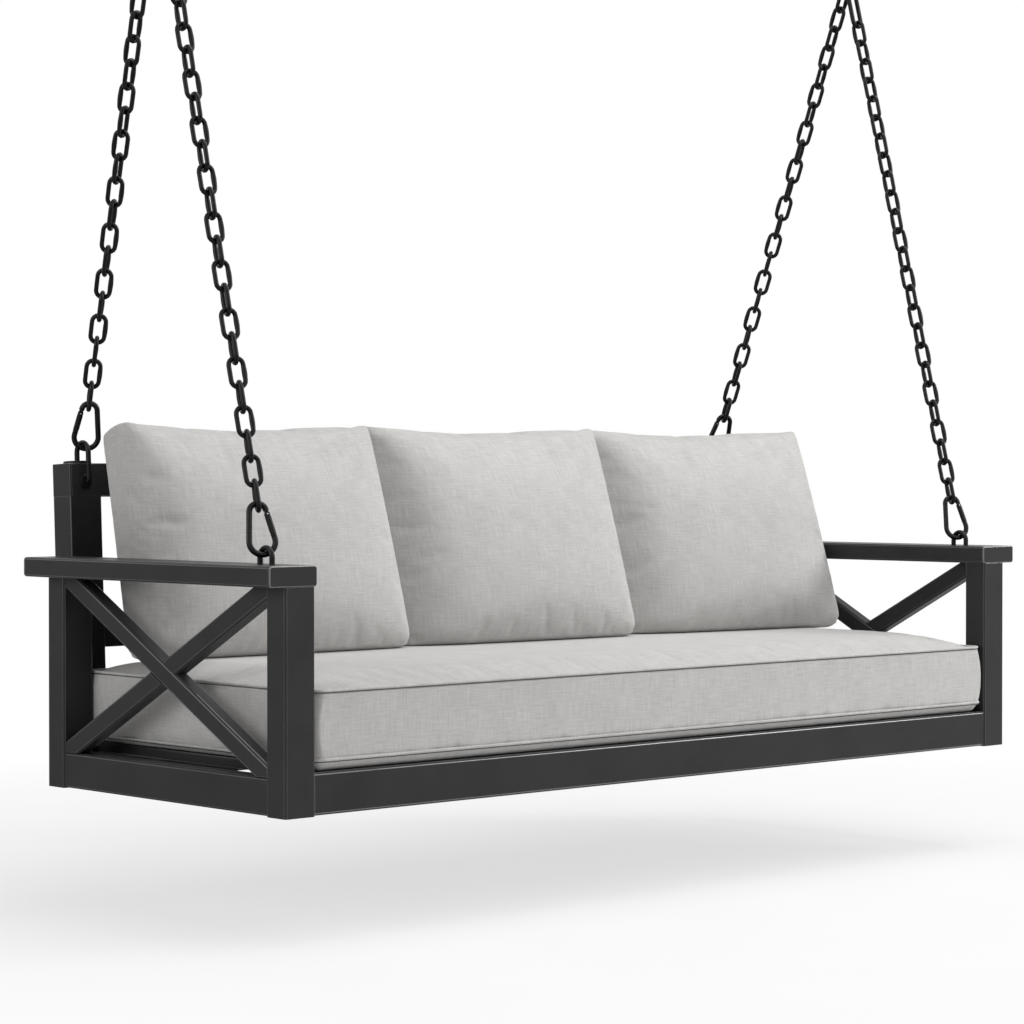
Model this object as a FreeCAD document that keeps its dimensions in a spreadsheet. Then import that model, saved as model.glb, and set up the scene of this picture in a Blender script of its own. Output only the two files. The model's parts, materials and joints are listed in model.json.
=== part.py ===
import FreeCAD, Part
import math
import os
import re
import Sketcher

# Hanging garden swing. Origin on the ceiling, midway between the two hangers, above the pivot line.
# X runs along the seat, Y from front to back, Z up. Lengths in millimetres, angles in degrees.
dimensions = [
    ("hang_setback", 408, "front post face to pivot line"),
    ("ceiling_height", 1785, "post foot to ceiling"),
    ("fit_gap", 0.3, "gap between loose pieces"),
    ("cut_overrun", 5, "length by which a tool passes the metal"),
    ("frame_width", 1950, "across the posts"),
    ("frame_depth", 710, "front post face to rear post face"),
    ("post_width", 65, "post along X"),
    ("post_depth", 53, "post along Y"),
    ("post_height", 389, "foot to underside of arm"),
    ("tube_corner", 3.5, "corner of the seat frame tubes"),
    ("light_corner", 1, "corner of the light tubes"),
    ("heavy_wall", 2.5, "wall of the seat frame tubes"),
    ("front_wall", 4.8, "wall of the front rail"),
    ("light_wall", 1, "wall of the back frame tubes"),
    ("plug_depth", 18, "depth of a tube plug"),
    ("arm_overhang", 30, "arm longer than the frame is deep"),
    ("arm_width", 102, "arm along X"),
    ("arm_height", 36, "arm along Z"),
    ("arm_inset", 4, "arm past the inner post face"),
    ("cap_plate", 4, "thickness of an end cap"),
    ("rail_lift", 1, "rail above the post foot"),
    ("rail_recess", 3, "rail face behind the post face"),
    ("rail_height", 73, "front and rear rail along Z"),
    ("rail_depth", 40, "front rail along Y"),
    ("rear_rail_depth", 30, "rear rail along Y"),
    ("side_rail_height", 65, "side rail along Z"),
    ("side_rail_depth", 40, "side rail along X"),
    ("brace_face", 36, "brace bar in its own plane"),
    ("brace_depth", 30, "brace bar along X"),
    ("ledge_width", 20, "seat ledge along Y"),
    ("ledge_height", 25, "seat ledge along Z"),
    ("slat_seat", 63, "ledge top above the post foot"),
    ("slat_width", 64, "seat slat along X"),
    ("slat_thick", 18, "seat slat along Z"),
    ("slat_margin", 12, "post to first seat slat"),
    ("slat_count", 11, "number of seat slats"),
    ("recline", 2.5, "lean of the back frame"),
    ("back_gap", 5, "rear post to upright at foot level"),
    ("back_rise", 600, "foot level to top of back frame"),
    ("upright_foot", 4, "foot level to lower end of upright"),
    ("upright_width", 70, "upright along X"),
    ("upright_depth", 57, "upright along Y"),
    ("upright_inset", 5, "inner post face to upright"),
    ("top_rail_height", 62, "top back rail along Z"),
    ("lower_rail_base", 252, "foot level to lower back rail"),
    ("lower_rail_height", 58, "lower back rail along Z"),
    ("lower_rail_depth", 40, "lower back rail along Y"),
    ("back_slat_width", 40, "back slat along X"),
    ("back_slat_thick", 20, "back slat along Y"),
    ("back_slat_drop", 10, "top of back frame to back slat"),
    ("back_slat_margin", 90, "upright to first back slat"),
    ("back_slat_count", 8, "number of back slats"),
    ("seat_clear", 6, "inner post face to end of the seat cushion"),
    ("seat_front", 8, "front post face to front seam"),
    ("seat_margin", 30, "seat cushion shorter than the frame is deep"),
    ("seat_boxing", 131, "height of the seat cushion sides"),
    ("seat_crown", 25, "rise of the seat top"),
    ("seat_bulge", 5, "bulge of the seat sides"),
    ("pad_gap", 3, "gap between back cushions"),
    ("pad_setback", 258, "lower front seam to rear post face"),
    ("pad_height", 440, "seat top to top corners"),
    ("pad_lean", 16.5, "lean of the back cushions"),
    ("pad_base", 80, "front seam to rear seam at the seat"),
    ("pad_head", 155, "front seam to rear seam at the top"),
    ("pad_front_crown", 34, "bulge of the front panel"),
    ("pad_rear_crown", 37, "bulge of the rear panel"),
    ("pad_sag", 16, "dip of the top edge between its corners"),
    ("pad_bulge", 6, "bulge of the top side"),
    ("pad_rest", 0.6, "seat top to the flat underside of a back cushion"),
    ("eye_rod", 10, "rod of the frame eyes"),
    ("eye_inset", 32, "outer post face to front eye"),
    ("eye_setback", 93, "front post face to front eye"),
    ("eye_spread", 33, "distance between eye legs"),
    ("eye_rise", 28, "arm top to eye rod axis"),
    ("eye_reach", 18, "eye leg below the arm top"),
    ("eye_plate_thick", 4, "backing plate along Z"),
    ("eye_plate_width", 34, "backing plate along X"),
    ("eye_plate_length", 64, "backing plate along Y"),
    ("nut_flats", 17, "nut across flats"),
    ("nut_thick", 8, "nut thickness"),
    ("loop_back", 26, "front rail face to rear loop leg"),
    ("loop_stand", 11.5, "front loop leg to front rail face"),
    ("loop_rise", 39, "top of back frame to loop rod axis"),
    ("loop_bend", 7.5, "bend radius of the front loop leg"),
    ("loop_entry", 35, "top of back frame to front leg entry"),
    ("loop_reach", 20, "loop leg inside the rail"),
    ("flange_radius", 26.5, "loop flange radius"),
    ("flange_thick", 5, "loop flange thickness"),
    ("washer_radius", 14, "domed washer radius"),
    ("washer_rise", 3.4, "domed washer height"),
    ("snap_bar", 9.4, "snap hook bar"),
    ("snap_top", 12, "snap hook top bend radius"),
    ("snap_base", 22.5, "snap hook lower bend radius"),
    ("snap_run", 52, "between the two bend centres"),
    ("snap_turn", 30, "turn of the snap hooks about the chain"),
    ("snap_slack", 1.4, "gap where snap hook and rod cross"),
    ("bend_gap", 0.8, "gap where two bent bars cross"),
    ("gate_bar", 10.2, "gate diameter"),
    ("gate_start", 8.5, "top bend to gate pin"),
    ("gate_length", 38, "gate pin to gate tip"),
    ("gate_heel", 2.6, "gate pin to the heel of the gate"),
    ("gate_gap", 0.8, "gap at both ends of a gate"),
    ("tongue_thick", 4, "hinge and nose tongues"),
    ("tongue_radius", 3.6, "hinge tongue about the pin"),
    ("tongue_reach", 4, "nose tongue in the gate"),
    ("slot_gap", 0.3, "tongue to slot wall"),
    ("gate_pin", 3, "gate pin diameter"),
    ("pin_gap", 0.1, "gate pin to its holes"),
    ("link_pitch", 43.3, "inner length of a chain link"),
    ("link_wire", 6.5, "chain wire"),
    ("link_width", 33, "outer width of a chain link"),
    ("long_link", 81, "inner length of the levelling link"),
    ("long_bar", 9, "bar of the levelling link"),
    ("long_width", 34, "outer width of the levelling link"),
    ("ring_bar", 10, "bar of the gathering ring"),
    ("ring_radius", 30, "ring bar axis"),
    ("plate_thick", 6, "ceiling plate thickness"),
    ("plate_width", 62, "ceiling plate along X"),
    ("plate_length", 120, "ceiling plate along Y"),
    ("screw_spacing", 80, "between the two screw holes"),
    ("screw_radius", 4.5, "screw hole radius"),
    ("ear_gap", 36, "between the ears"),
    ("ear_thick", 6, "ear thickness"),
    ("ear_width", 40, "ear along Y"),
    ("pivot_drop", 36, "ceiling to pivot axis"),
    ("pivot_radius", 5, "pivot bolt radius"),
    ("bolt_head_thick", 7, "pivot bolt head"),
    ("bolt_tail", 5, "pivot bolt past its nut"),
    ("bush_radius", 8, "bush outside"),
    ("boss_radius", 12, "hanger boss outside"),
    ("hanger_bar", 10, "hanger loop bar"),
    ("hanger_bend", 12, "hanger loop bend radius"),
    ("hanger_drop", 48, "pivot axis to hanger loop axis"),
]

doc = FreeCAD.newDocument("GardenSwing")
sheet = doc.addObject("Spreadsheet::Sheet", "Dims")
for row, (alias, value, note) in enumerate(dimensions, 1):
    sheet.set("A%d" % row, note)
    sheet.set("B%d" % row, str(value))
    sheet.setAlias("B%d" % row, alias)
doc.recompute()

# Sizes read back from the sheet, for the pieces that are shaped point by point
size = {alias: float(sheet.get(alias)) for alias, value, note in dimensions}
alias_word = re.compile(r"\b(" + "|".join(size) + r")\b")
vec = FreeCAD.Vector
axis_x = vec(1, 0, 0)
axis_y = vec(0, 1, 0)
axis_z = vec(0, 0, 1)
right_angle = 90
half_turn = 180

eye_side = size["frame_width"] / 2 - size["eye_inset"]
full_turn = 360

# Levels that many pieces share, as formulas on the sheet
front_y = "(0 - hang_setback)"
foot_z = "(0 - ceiling_height)"
left_x = "(0 - frame_width / 2)"
inner_half = "(frame_width / 2 - post_width)"
back_y = "(frame_depth + back_gap - hang_setback)"
upright_x = "(upright_inset + upright_width / 2 - frame_width / 2 + post_width)"
eye_x = "(eye_inset - frame_width / 2)"
arm_length = "(frame_depth + arm_overhang)"
arm_x = "(post_width + arm_inset - arm_width / 2 - frame_width / 2)"
arm_top = "(post_height + arm_height - ceiling_height)"
brace_long = "(frame_depth - 2 * post_depth)"
brace_tall = "(post_height - rail_lift - side_rail_height)"

nodes = {}


def bind(obj, path, formula):
    obj.setExpression(path, alias_word.sub(r"Dims.\1", formula))


def place(obj, x, y, z):
    bind(obj, "Placement.Base.x", x)
    bind(obj, "Placement.Base.y", y)
    bind(obj, "Placement.Base.z", z)


def keep(label, obj):
    obj.Label = label
    nodes[label] = obj
    return obj


def mirrored(label, source):
    copy = doc.addObject("Part::Mirroring", label)
    copy.Source = source
    copy.Base = vec(0, 0, 0)
    copy.Normal = axis_x
    return copy


def mirror_pair(name, source):
    keep(name + "_left", source)
    keep(name + "_right", mirrored(name + "_right", source))


def group(label, members):
    compound = doc.addObject("Part::Compound", label)
    compound.Links = members
    return keep(label, compound)


def both_sides(label, members):
    return group(label, members + [mirrored(label + "_mirror", m) for m in members])


def boolean(kind, name, base, tool):
    result = doc.addObject("Part::" + kind, name)
    result.Base = base
    result.Tool = tool
    return result


def fused(name, members):
    result = doc.addObject("Part::MultiFuse", name)
    result.Shapes = members
    return result


def named_constraint(sketch, constraint, name, formula):
    index = sketch.addConstraint(constraint)
    sketch.renameConstraint(index, name)
    bind(sketch, "Constraints." + name, formula)


def sketch_on(body, role):
    sketch = body.newObject("Sketcher::SketchObject", body.Name + "_sketch")
    support = next(f for f in body.Origin.OriginFeatures if f.Role == role)
    sketch.AttachmentSupport = [(support, "")]
    sketch.MapMode = "FlatFace"
    return sketch


def chain_of_lines(sketch, points):
    first = sketch.GeometryCount
    count = len(points)
    for k in range(count):
        sketch.addGeometry(Part.LineSegment(points[k], points[(k + 1) % count]), False)
    for k in range(count):
        sketch.addConstraint(Sketcher.Constraint("Coincident", first + k, 2, first + (k + 1) % count, 1))
    return first


# Outer loop: four flats, with the corners cut at equal distances
def corner_loop(sketch, wide, tall, corner):
    x = size[wide] / 2
    y = size[tall] / 2
    cut = size[corner]
    chain_of_lines(sketch, [vec(x - cut, y, 0), vec(cut - x, y, 0), vec(-x, y - cut, 0), vec(-x, cut - y, 0),
                            vec(cut - x, -y, 0), vec(x - cut, -y, 0), vec(x, cut - y, 0), vec(x, y - cut, 0)])
    for k in (0, 4):
        sketch.addConstraint(Sketcher.Constraint("Symmetric", k, 1, k, 2, -2))
        sketch.addConstraint(Sketcher.Constraint("Symmetric", k + 2, 1, k + 2, 2, -1))
    sketch.addConstraint(Sketcher.Constraint("Symmetric", 0, 1, 4, 1, -1, 1))
    sketch.addConstraint(Sketcher.Constraint("Symmetric", 2, 1, 6, 1, -1, 1))
    named_constraint(sketch, Sketcher.Constraint("DistanceX", 0, 2, 0, 1, 2 * (x - cut)), "flat_across",
                     "%s - 2 * %s" % (wide, corner))
    named_constraint(sketch, Sketcher.Constraint("DistanceY", 2, 2, 2, 1, 2 * (y - cut)), "flat_tall",
                     "%s - 2 * %s" % (tall, corner))
    named_constraint(sketch, Sketcher.Constraint("DistanceX", 2, 1, 6, 1, 2 * x), "across", wide)
    named_constraint(sketch, Sketcher.Constraint("DistanceY", 4, 1, 0, 1, 2 * y), "tall", tall)


def inner_loop(sketch, wide, tall, wall):
    x = size[wide] / 2 - size[wall]
    y = size[tall] / 2 - size[wall]
    first = chain_of_lines(sketch, [vec(x, y, 0), vec(-x, y, 0), vec(-x, -y, 0), vec(x, -y, 0)])
    for k in (first, first + 2):
        sketch.addConstraint(Sketcher.Constraint("Horizontal", k))
        sketch.addConstraint(Sketcher.Constraint("Vertical", k + 1))
    sketch.addConstraint(Sketcher.Constraint("Symmetric", first, 1, first + 2, 1, -1, 1))
    named_constraint(sketch, Sketcher.Constraint("DistanceX", first, 2, first, 1, 2 * x), "bore_across",
                     "%s - 2 * %s" % (wide, wall))
    named_constraint(sketch, Sketcher.Constraint("DistanceY", first + 1, 2, first + 1, 1, 2 * y), "bore_tall",
                     "%s - 2 * %s" % (tall, wall))


# A tube, or a solid plate where no wall is named, padded along the normal of its plane
def section_bar(name, role, wide, tall, wall, length, corner="tube_corner"):
    body = doc.addObject("PartDesign::Body", name)
    sketch = sketch_on(body, role)
    corner_loop(sketch, wide, tall, corner)
    if wall:
        inner_loop(sketch, wide, tall, wall)
    pad = body.newObject("PartDesign::Pad", name + "_pad")
    pad.Profile = sketch
    pad.Reversed = role == "XZ_Plane"
    bind(pad, "Length", length)
    return body


def row_along_x(body, count, spread):
    pattern = body.newObject("PartDesign::LinearPattern", body.Name + "_row")
    pattern.Originals = [o for o in body.Group if o.TypeId == "PartDesign::Pad"]
    pattern.Direction = (next(o for o in body.Group if o.TypeId == "Sketcher::SketchObject"), ["H_Axis"])
    bind(pattern, "Length", spread)
    bind(pattern, "Occurrences", count)
    body.Tip = pattern


# A point of the reclined back frame: depth behind its front plane and rise above foot level
def place_on_back(obj, x, depth, rise):
    obj.Placement = FreeCAD.Placement(vec(0, 0, 0), FreeCAD.Rotation(-axis_x, size["recline"]))
    bind(obj, "Placement.Rotation.Angle", "recline")
    place(obj, x, "%s + (%s) * cos(recline) + (%s) * sin(recline)" % (back_y, depth, rise),
          "%s - (%s) * sin(recline) + (%s) * cos(recline)" % (foot_z, depth, rise))


def box(name, length, width, height):
    shape = doc.addObject("Part::Box", name)
    bind(shape, "Length", length)
    bind(shape, "Width", width)
    bind(shape, "Height", height)
    return shape


def cylinder(name, radius, height):
    shape = doc.addObject("Part::Cylinder", name)
    bind(shape, "Radius", radius)
    bind(shape, "Height", height)
    return shape


def turned(obj, axis, angle):
    obj.Placement = FreeCAD.Placement(vec(0, 0, 0), FreeCAD.Rotation(axis, angle))
    return obj


def prism(name, sides, radius, height):
    shape = doc.addObject("Part::Prism", name)
    shape.Polygon = sides
    bind(shape, "Circumradius", radius)
    bind(shape, "Height", height)
    return shape


# Hole for an eight sided rod, clear of its flats by the named gap
bar_sides = 8
wire_sides = 6
rod_clear = "(eye_rod / 2 + pin_gap / cos(22.5))"


def rod_hole(name, height):
    return prism(name, bar_sides, rod_clear, height)


def hex_nut(name, bore):
    return boolean("Cut", name, prism(name + "_hex", 6, "nut_flats / 2 / cos(30)", "nut_thick"), bore)


# Seat frame
front_post = section_bar("front_post", "XY_Plane", "post_width", "post_depth", "heavy_wall", "post_height")
place(front_post, left_x + " + post_width / 2", front_y + " + post_depth / 2", foot_z)
mirror_pair("front_post", front_post)

rear_post = section_bar("rear_post", "XY_Plane", "post_width", "post_depth", "heavy_wall", "post_height")
place(rear_post, left_x + " + post_width / 2", front_y + " + frame_depth - post_depth / 2", foot_z)
mirror_pair("rear_post", rear_post)

plugs = []
for name, corner_y in (("front_plug", front_y), ("rear_plug", front_y + " + frame_depth - post_depth")):
    plug = box(name, "post_width - 2 * heavy_wall", "post_depth - 2 * heavy_wall", "plug_depth")
    place(plug, left_x + " + heavy_wall", corner_y + " + heavy_wall", foot_z)
    plugs.append(plug)
both_sides("post_plugs", plugs)

side_rail = section_bar("side_rail", "XZ_Plane", "side_rail_depth", "side_rail_height", "heavy_wall", brace_long)
place(side_rail, left_x + " + rail_recess + side_rail_depth / 2", front_y + " + post_depth",
      foot_z + " + rail_lift + side_rail_height / 2")
mirror_pair("side_rail", side_rail)

front_rail = section_bar("front_rail", "YZ_Plane", "rail_depth", "rail_height", "front_wall", "2 * " + inner_half)
place(front_rail, "-" + inner_half, front_y + " + rail_recess + rail_depth / 2",
      foot_z + " + rail_lift + rail_height / 2")
keep("front_rail", front_rail)

rear_rail = section_bar("rear_rail", "YZ_Plane", "rear_rail_depth", "rail_height", "light_wall", "2 * " + inner_half,
                        "light_corner")
place(rear_rail, "-" + inner_half, front_y + " + frame_depth - rail_recess - rear_rail_depth / 2",
      foot_z + " + rail_lift + rail_height / 2")
keep("rear_rail", rear_rail)

# X braces, trimmed to the opening between the posts, the side rail and the arm
opening = box("brace_opening", "brace_depth + 2 * cut_overrun", brace_long, brace_tall)
place(opening, left_x + " + rail_recess - cut_overrun", front_y + " + post_depth",
      foot_z + " + rail_lift + side_rail_height")
brace_angle = "atan(%s / %s)" % (brace_tall, brace_long)
brace_run = "(sqrt(%s ^ 2 + %s ^ 2) + 2 * brace_face)" % (brace_tall, brace_long)
brace_x = left_x + " + rail_recess + brace_depth / 2"
brace_mid_y = front_y + " + frame_depth / 2"
brace_mid_z = foot_z + " + post_height - %s / 2" % brace_tall


def brace_bar(name, wall, rise_axis):
    bar = section_bar(name, "XZ_Plane", "brace_depth", "brace_face", wall, brace_run)
    turned(bar, rise_axis, 1)
    bind(bar, "Placement.Rotation.Angle", brace_angle)
    sign = "-" if rise_axis.x > 0 else "+"
    place(bar, brace_x, "%s - %s / 2 * cos(%s)" % (brace_mid_y, brace_run, brace_angle),
          "%s %s %s / 2 * sin(%s)" % (brace_mid_z, sign, brace_run, brace_angle))
    return bar


long_tube = brace_bar("brace_long_tube", "heavy_wall", axis_x)
cross_tube = brace_bar("brace_cross_tube", "heavy_wall", -axis_x)
long_core = box("brace_long_core", "brace_depth + 2 * cut_overrun", brace_run, "brace_face")
turned(long_core, axis_x, 1)
bind(long_core, "Placement.Rotation.Angle", brace_angle)
core_y = "%s - %s / 2 * cos(%s) + brace_face / 2 * sin(%s)" % (brace_mid_y, brace_run, brace_angle, brace_angle)
core_z = "%s - %s / 2 * sin(%s) - brace_face / 2 * cos(%s)" % (brace_mid_z, brace_run, brace_angle, brace_angle)
place(long_core, brace_x + " - brace_depth / 2 - cut_overrun", core_y, core_z)
mirror_pair("brace_long", boolean("Common", "brace_long", long_tube, opening))
cross_trim = boolean("Common", "brace_cross_trim", cross_tube, opening)
mirror_pair("brace_halves", boolean("Cut", "brace_halves", cross_trim, long_core))

# Arms, with the holes for the front eyes
arm_tube = section_bar("arm_tube", "XZ_Plane", "arm_width", "arm_height", "heavy_wall", arm_length + " - 2 * cap_plate")
place(arm_tube, arm_x, front_y + " + cap_plate", foot_z + " + post_height + arm_height / 2")
eye_holes = []
for name, sign in (("eye_hole_front", "-"), ("eye_hole_rear", "+")):
    hole = rod_hole(name, "heavy_wall + eye_plate_thick + 2 * cut_overrun")
    place(hole, eye_x, "%s + eye_setback %s eye_spread / 2" % (front_y, sign),
          arm_top + " - heavy_wall - eye_plate_thick - cut_overrun")
    eye_holes.append(hole)
mirror_pair("arm", boolean("Cut", "arm", arm_tube, fused("eye_holes", eye_holes)))
arm_caps = []
for name, start in (("arm_cap_front", "0"), ("arm_cap_rear", arm_length + " - cap_plate")):
    cap = section_bar(name, "XZ_Plane", "arm_width", "arm_height", None, "cap_plate")
    place(cap, arm_x, "%s + %s" % (front_y, start), foot_z + " + post_height + arm_height / 2")
    arm_caps.append(cap)
both_sides("arm_caps", arm_caps)

# Seat ledges and slats
ledges = []
for name, mid_y in (("ledge_front", "rail_recess + rail_depth + ledge_width / 2"),
                    ("ledge_rear", "frame_depth - rail_recess - rear_rail_depth - ledge_width / 2")):
    ledge = section_bar(name, "YZ_Plane", "ledge_width", "ledge_height", "light_wall", "2 * " + inner_half, "light_corner")
    place(ledge, "-" + inner_half, "%s + %s" % (front_y, mid_y), foot_z + " + slat_seat - ledge_height / 2")
    ledges.append(ledge)
group("seat_ledges", ledges)

slats = section_bar("seat_slats", "XZ_Plane", "slat_width", "slat_thick", "light_wall",
                    "frame_depth - 2 * rail_recess - rail_depth - rear_rail_depth", "light_corner")
row_along_x(slats, "slat_count", "2 * (%s - slat_margin) - slat_width" % inner_half)
place(slats, "slat_margin + slat_width / 2 - " + inner_half, front_y + " + rail_recess + rail_depth",
      foot_z + " + slat_seat + slat_thick / 2")
keep("seat_slats", slats)

# Back frame
upright = section_bar("upright", "XY_Plane", "upright_width", "upright_depth", "light_wall",
                      "back_rise - top_rail_height - upright_foot", "light_corner")
place_on_back(upright, upright_x, "upright_depth / 2", "upright_foot")
mirror_pair("upright", upright)

upright_plug = box("upright_plug", "upright_width - 2 * light_wall", "upright_depth - 2 * light_wall", "plug_depth")
place_on_back(upright_plug, upright_x + " - upright_width / 2 + light_wall", "light_wall", "upright_foot")
both_sides("upright_plugs", [upright_plug])

top_tube = section_bar("top_rail_tube", "YZ_Plane", "upright_depth", "top_rail_height", "light_wall",
                       "2 * (%s - upright_inset - cap_plate)" % inner_half, "light_corner")
place_on_back(top_tube, "upright_inset + cap_plate - " + inner_half, "upright_depth / 2",
              "back_rise - top_rail_height / 2")
loop_holes = []
for name, x in (("left", upright_x), ("right", "-" + upright_x)):
    top_hole = rod_hole("loop_top_hole_" + name, "light_wall + 2 * cut_overrun")
    place_on_back(top_hole, x, "loop_back", "back_rise - light_wall - cut_overrun")
    loop_holes.append(top_hole)
    face_hole = rod_hole("loop_face_hole_" + name, "light_wall + 2 * cut_overrun")
    face_hole.Placement = FreeCAD.Placement(vec(0, 0, 0), FreeCAD.Rotation(axis_x, 1))
    bind(face_hole, "Placement.Rotation.Angle", "0 - 90 - recline")
    place(face_hole, x, "%s - cut_overrun * cos(recline) + (back_rise - loop_entry) * sin(recline)" % back_y,
          "%s + cut_overrun * sin(recline) + (back_rise - loop_entry) * cos(recline)" % foot_z)
    loop_holes.append(face_hole)
keep("back_top_rail", boolean("Cut", "back_top_rail", top_tube, fused("loop_holes", loop_holes)))

top_cap = section_bar("top_rail_cap", "YZ_Plane", "upright_depth", "top_rail_height", None, "cap_plate",
                      "light_corner")
place_on_back(top_cap, "upright_inset - " + inner_half, "upright_depth / 2", "back_rise - top_rail_height / 2")
both_sides("top_rail_caps", [top_cap])

lower_rail = section_bar("back_lower_rail", "YZ_Plane", "lower_rail_depth", "lower_rail_height", "light_wall",
                         "2 * (%s - upright_inset - upright_width)" % inner_half, "light_corner")
place_on_back(lower_rail, "upright_inset + upright_width - " + inner_half, "lower_rail_depth / 2",
              "lower_rail_base + lower_rail_height / 2")
keep("back_lower_rail", lower_rail)

back_slats = section_bar("back_slats", "XY_Plane", "back_slat_width", "back_slat_thick", "light_wall",
                         "back_rise - back_slat_drop - lower_rail_base", "light_corner")
first_back_slat = "upright_inset + upright_width + back_slat_margin + back_slat_width / 2"
row_along_x(back_slats, "back_slat_count", "2 * (%s - (%s))" % (inner_half, first_back_slat))
place_on_back(back_slats, "%s - %s" % (first_back_slat, inner_half), "0 - back_slat_thick / 2", "lower_rail_base")
keep("back_slats", back_slats)

# Wedges that fill the space between the rear rail and the reclined uprights
wedge = doc.addObject("PartDesign::Body", "back_wedge")
wedge_sketch = sketch_on(wedge, "YZ_Plane")
wedge_foot = "(back_gap + rail_recess + rail_lift * tan(recline))"
wedge_head = "(%s + rail_height * tan(recline))" % wedge_foot
foot_size = size["back_gap"] + size["rail_recess"] + size["rail_lift"] * math.tan(math.radians(size["recline"]))
head_size = foot_size + size["rail_height"] * math.tan(math.radians(size["recline"]))
wedge_points = [vec(0, 0, 0), vec(foot_size, 0, 0), vec(head_size, size["rail_height"], 0),
                vec(0, size["rail_height"], 0)]
chain_of_lines(wedge_sketch, wedge_points)
wedge_sketch.addConstraint(Sketcher.Constraint("Horizontal", 0))
wedge_sketch.addConstraint(Sketcher.Constraint("Horizontal", 2))
wedge_sketch.addConstraint(Sketcher.Constraint("Vertical", 3))
wedge_sketch.addConstraint(Sketcher.Constraint("Coincident", 0, 1, -1, 1))
named_constraint(wedge_sketch, Sketcher.Constraint("DistanceX", 0, 1, 0, 2, foot_size), "foot", wedge_foot)
named_constraint(wedge_sketch, Sketcher.Constraint("DistanceX", 2, 2, 2, 1, head_size), "head", wedge_head)
named_constraint(wedge_sketch, Sketcher.Constraint("DistanceY", 3, 2, 3, 1, size["rail_height"]), "tall",
                 "rail_height")
wedge_pad = wedge.newObject("PartDesign::Pad", "back_wedge_pad")
wedge_pad.Profile = wedge_sketch
bind(wedge_pad, "Length", "upright_width")
place(wedge, upright_x + " - upright_width / 2", front_y + " + frame_depth - rail_recess", foot_z + " + rail_lift")
both_sides("back_spacers", [wedge])


# Lofted cushions: each section has four corners at the seams, a flat base and three shallow arcs
def bowed_edge(start, stop, bulge):
    run = stop - start
    outward = axis_x.cross(run).normalize() * bulge
    return Part.Arc(start, (start + stop) / 2 + outward, stop).toShape()


def seam_section(corners, bulges):
    edges = [bowed_edge(corners[k], corners[k + 1], bulges[k]) for k in range(3)]
    return Part.Wire(edges + [Part.LineSegment(corners[3], corners[0]).toShape()])


def solid_node(label, shape):
    return keep(label, feature(label, shape))


def feature(name, shape):
    obj = doc.addObject("Part::Feature", name)
    obj.Shape = shape
    return obj


base_y = -size["hang_setback"]
base_z = -size["ceiling_height"]
slat_top = size["slat_seat"] + size["slat_thick"]
seat_base = slat_top + size["fit_gap"]
seat_top = seat_base + size["seat_boxing"]
seat_depth = size["frame_depth"] - size["seat_margin"]
pad_front = size["frame_depth"] - size["pad_setback"]
seat_half = size["frame_width"] / 2 - size["post_width"] - size["seat_clear"]
pad_count = 3
pad_width = (2 * seat_half - (pad_count - 1) * size["pad_gap"]) / pad_count
pad_spacing = pad_width + size["pad_gap"]


# Height of the seat top at a distance behind the front post face
def seat_level(y):
    middle = size["seat_front"] + seat_depth / 2
    share = (y - middle) / (seat_depth / 2)
    return seat_top + size["seat_crown"] * (1 - share * share)


# Position along the half length, inset of the seams and crown, each as a share
seat_shares = [(-1, 1, 0.1), (-0.995, 0, 0.2), (-0.96, 0, 0.5), (-0.88, 0, 0.8), (-0.7, 0, 1), (0.7, 0, 1),
               (0.88, 0, 0.8), (0.96, 0, 0.5), (0.995, 0, 0.2), (1, 1, 0.1)]
seat_wires = []
for place_share, inset_share, crown_share in seat_shares:
    x = place_share * seat_half
    inset = inset_share * size["seat_bulge"]
    front = base_y + size["seat_front"] + inset
    rear = base_y + size["seat_front"] + seat_depth - inset
    low = base_z + seat_base
    high = base_z + seat_top - inset
    corners = [vec(x, front, low), vec(x, front, high), vec(x, rear, high), vec(x, rear, low)]
    bulge = size["seat_bulge"]
    crown = size["seat_crown"] * crown_share
    seat_wires.append(seam_section(corners, [bulge, crown, bulge]))
solid_node("seat_cushion", Part.makeLoft(seat_wires, True, True))

# Position along the half width, boxing, crowns and top dip of a back cushion, each as a share
pad_shares = [(-1, 0.4, 0.12, 0.1), (-0.96, 0.5, 0.3, 0), (-0.66, 0.88, 0.8, 0.6), (0, 1, 1, 1),
              (0.66, 0.88, 0.8, 0.6), (0.96, 0.5, 0.3, 0), (1, 0.4, 0.12, 0.1)]
lean_slope = math.tan(math.radians(size["pad_lean"]))


def back_pad(centre):
    wires = []
    for place_share, boxing_share, crown_share, dip_share in pad_shares:
        x = centre + place_share * pad_width / 2
        front = pad_front + size["pad_base"] * (1 - boxing_share) / 2
        rear = front + size["pad_base"] * boxing_share
        rest = size["pad_rest"] + size["fit_gap"]
        low_front = seat_level(front) + rest
        low_rear = seat_level(rear) + rest
        high = seat_level(pad_front) + size["pad_height"] - size["pad_sag"] * dip_share
        high_front = pad_front + (high - low_front) * lean_slope + size["pad_head"] * (1 - boxing_share) / 2
        high_rear = high_front + size["pad_head"] * boxing_share
        corners = [vec(x, base_y + front, base_z + low_front), vec(x, base_y + high_front, base_z + high),
                   vec(x, base_y + high_rear, base_z + high), vec(x, base_y + rear, base_z + low_rear)]
        bulges = [size["pad_front_crown"] * crown_share, size["pad_bulge"], size["pad_rear_crown"] * crown_share]
        wires.append(seam_section(corners, bulges))
    return Part.makeLoft(wires, True, True)


for name, step in (("left", -1), ("middle", 0), ("right", 1)):
    solid_node("back_cushion_" + name, back_pad(step * pad_spacing))


# Bars bent along a path of short straight runs, with an eight sided section
bend_steps = 6
ring_steps = 12


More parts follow.
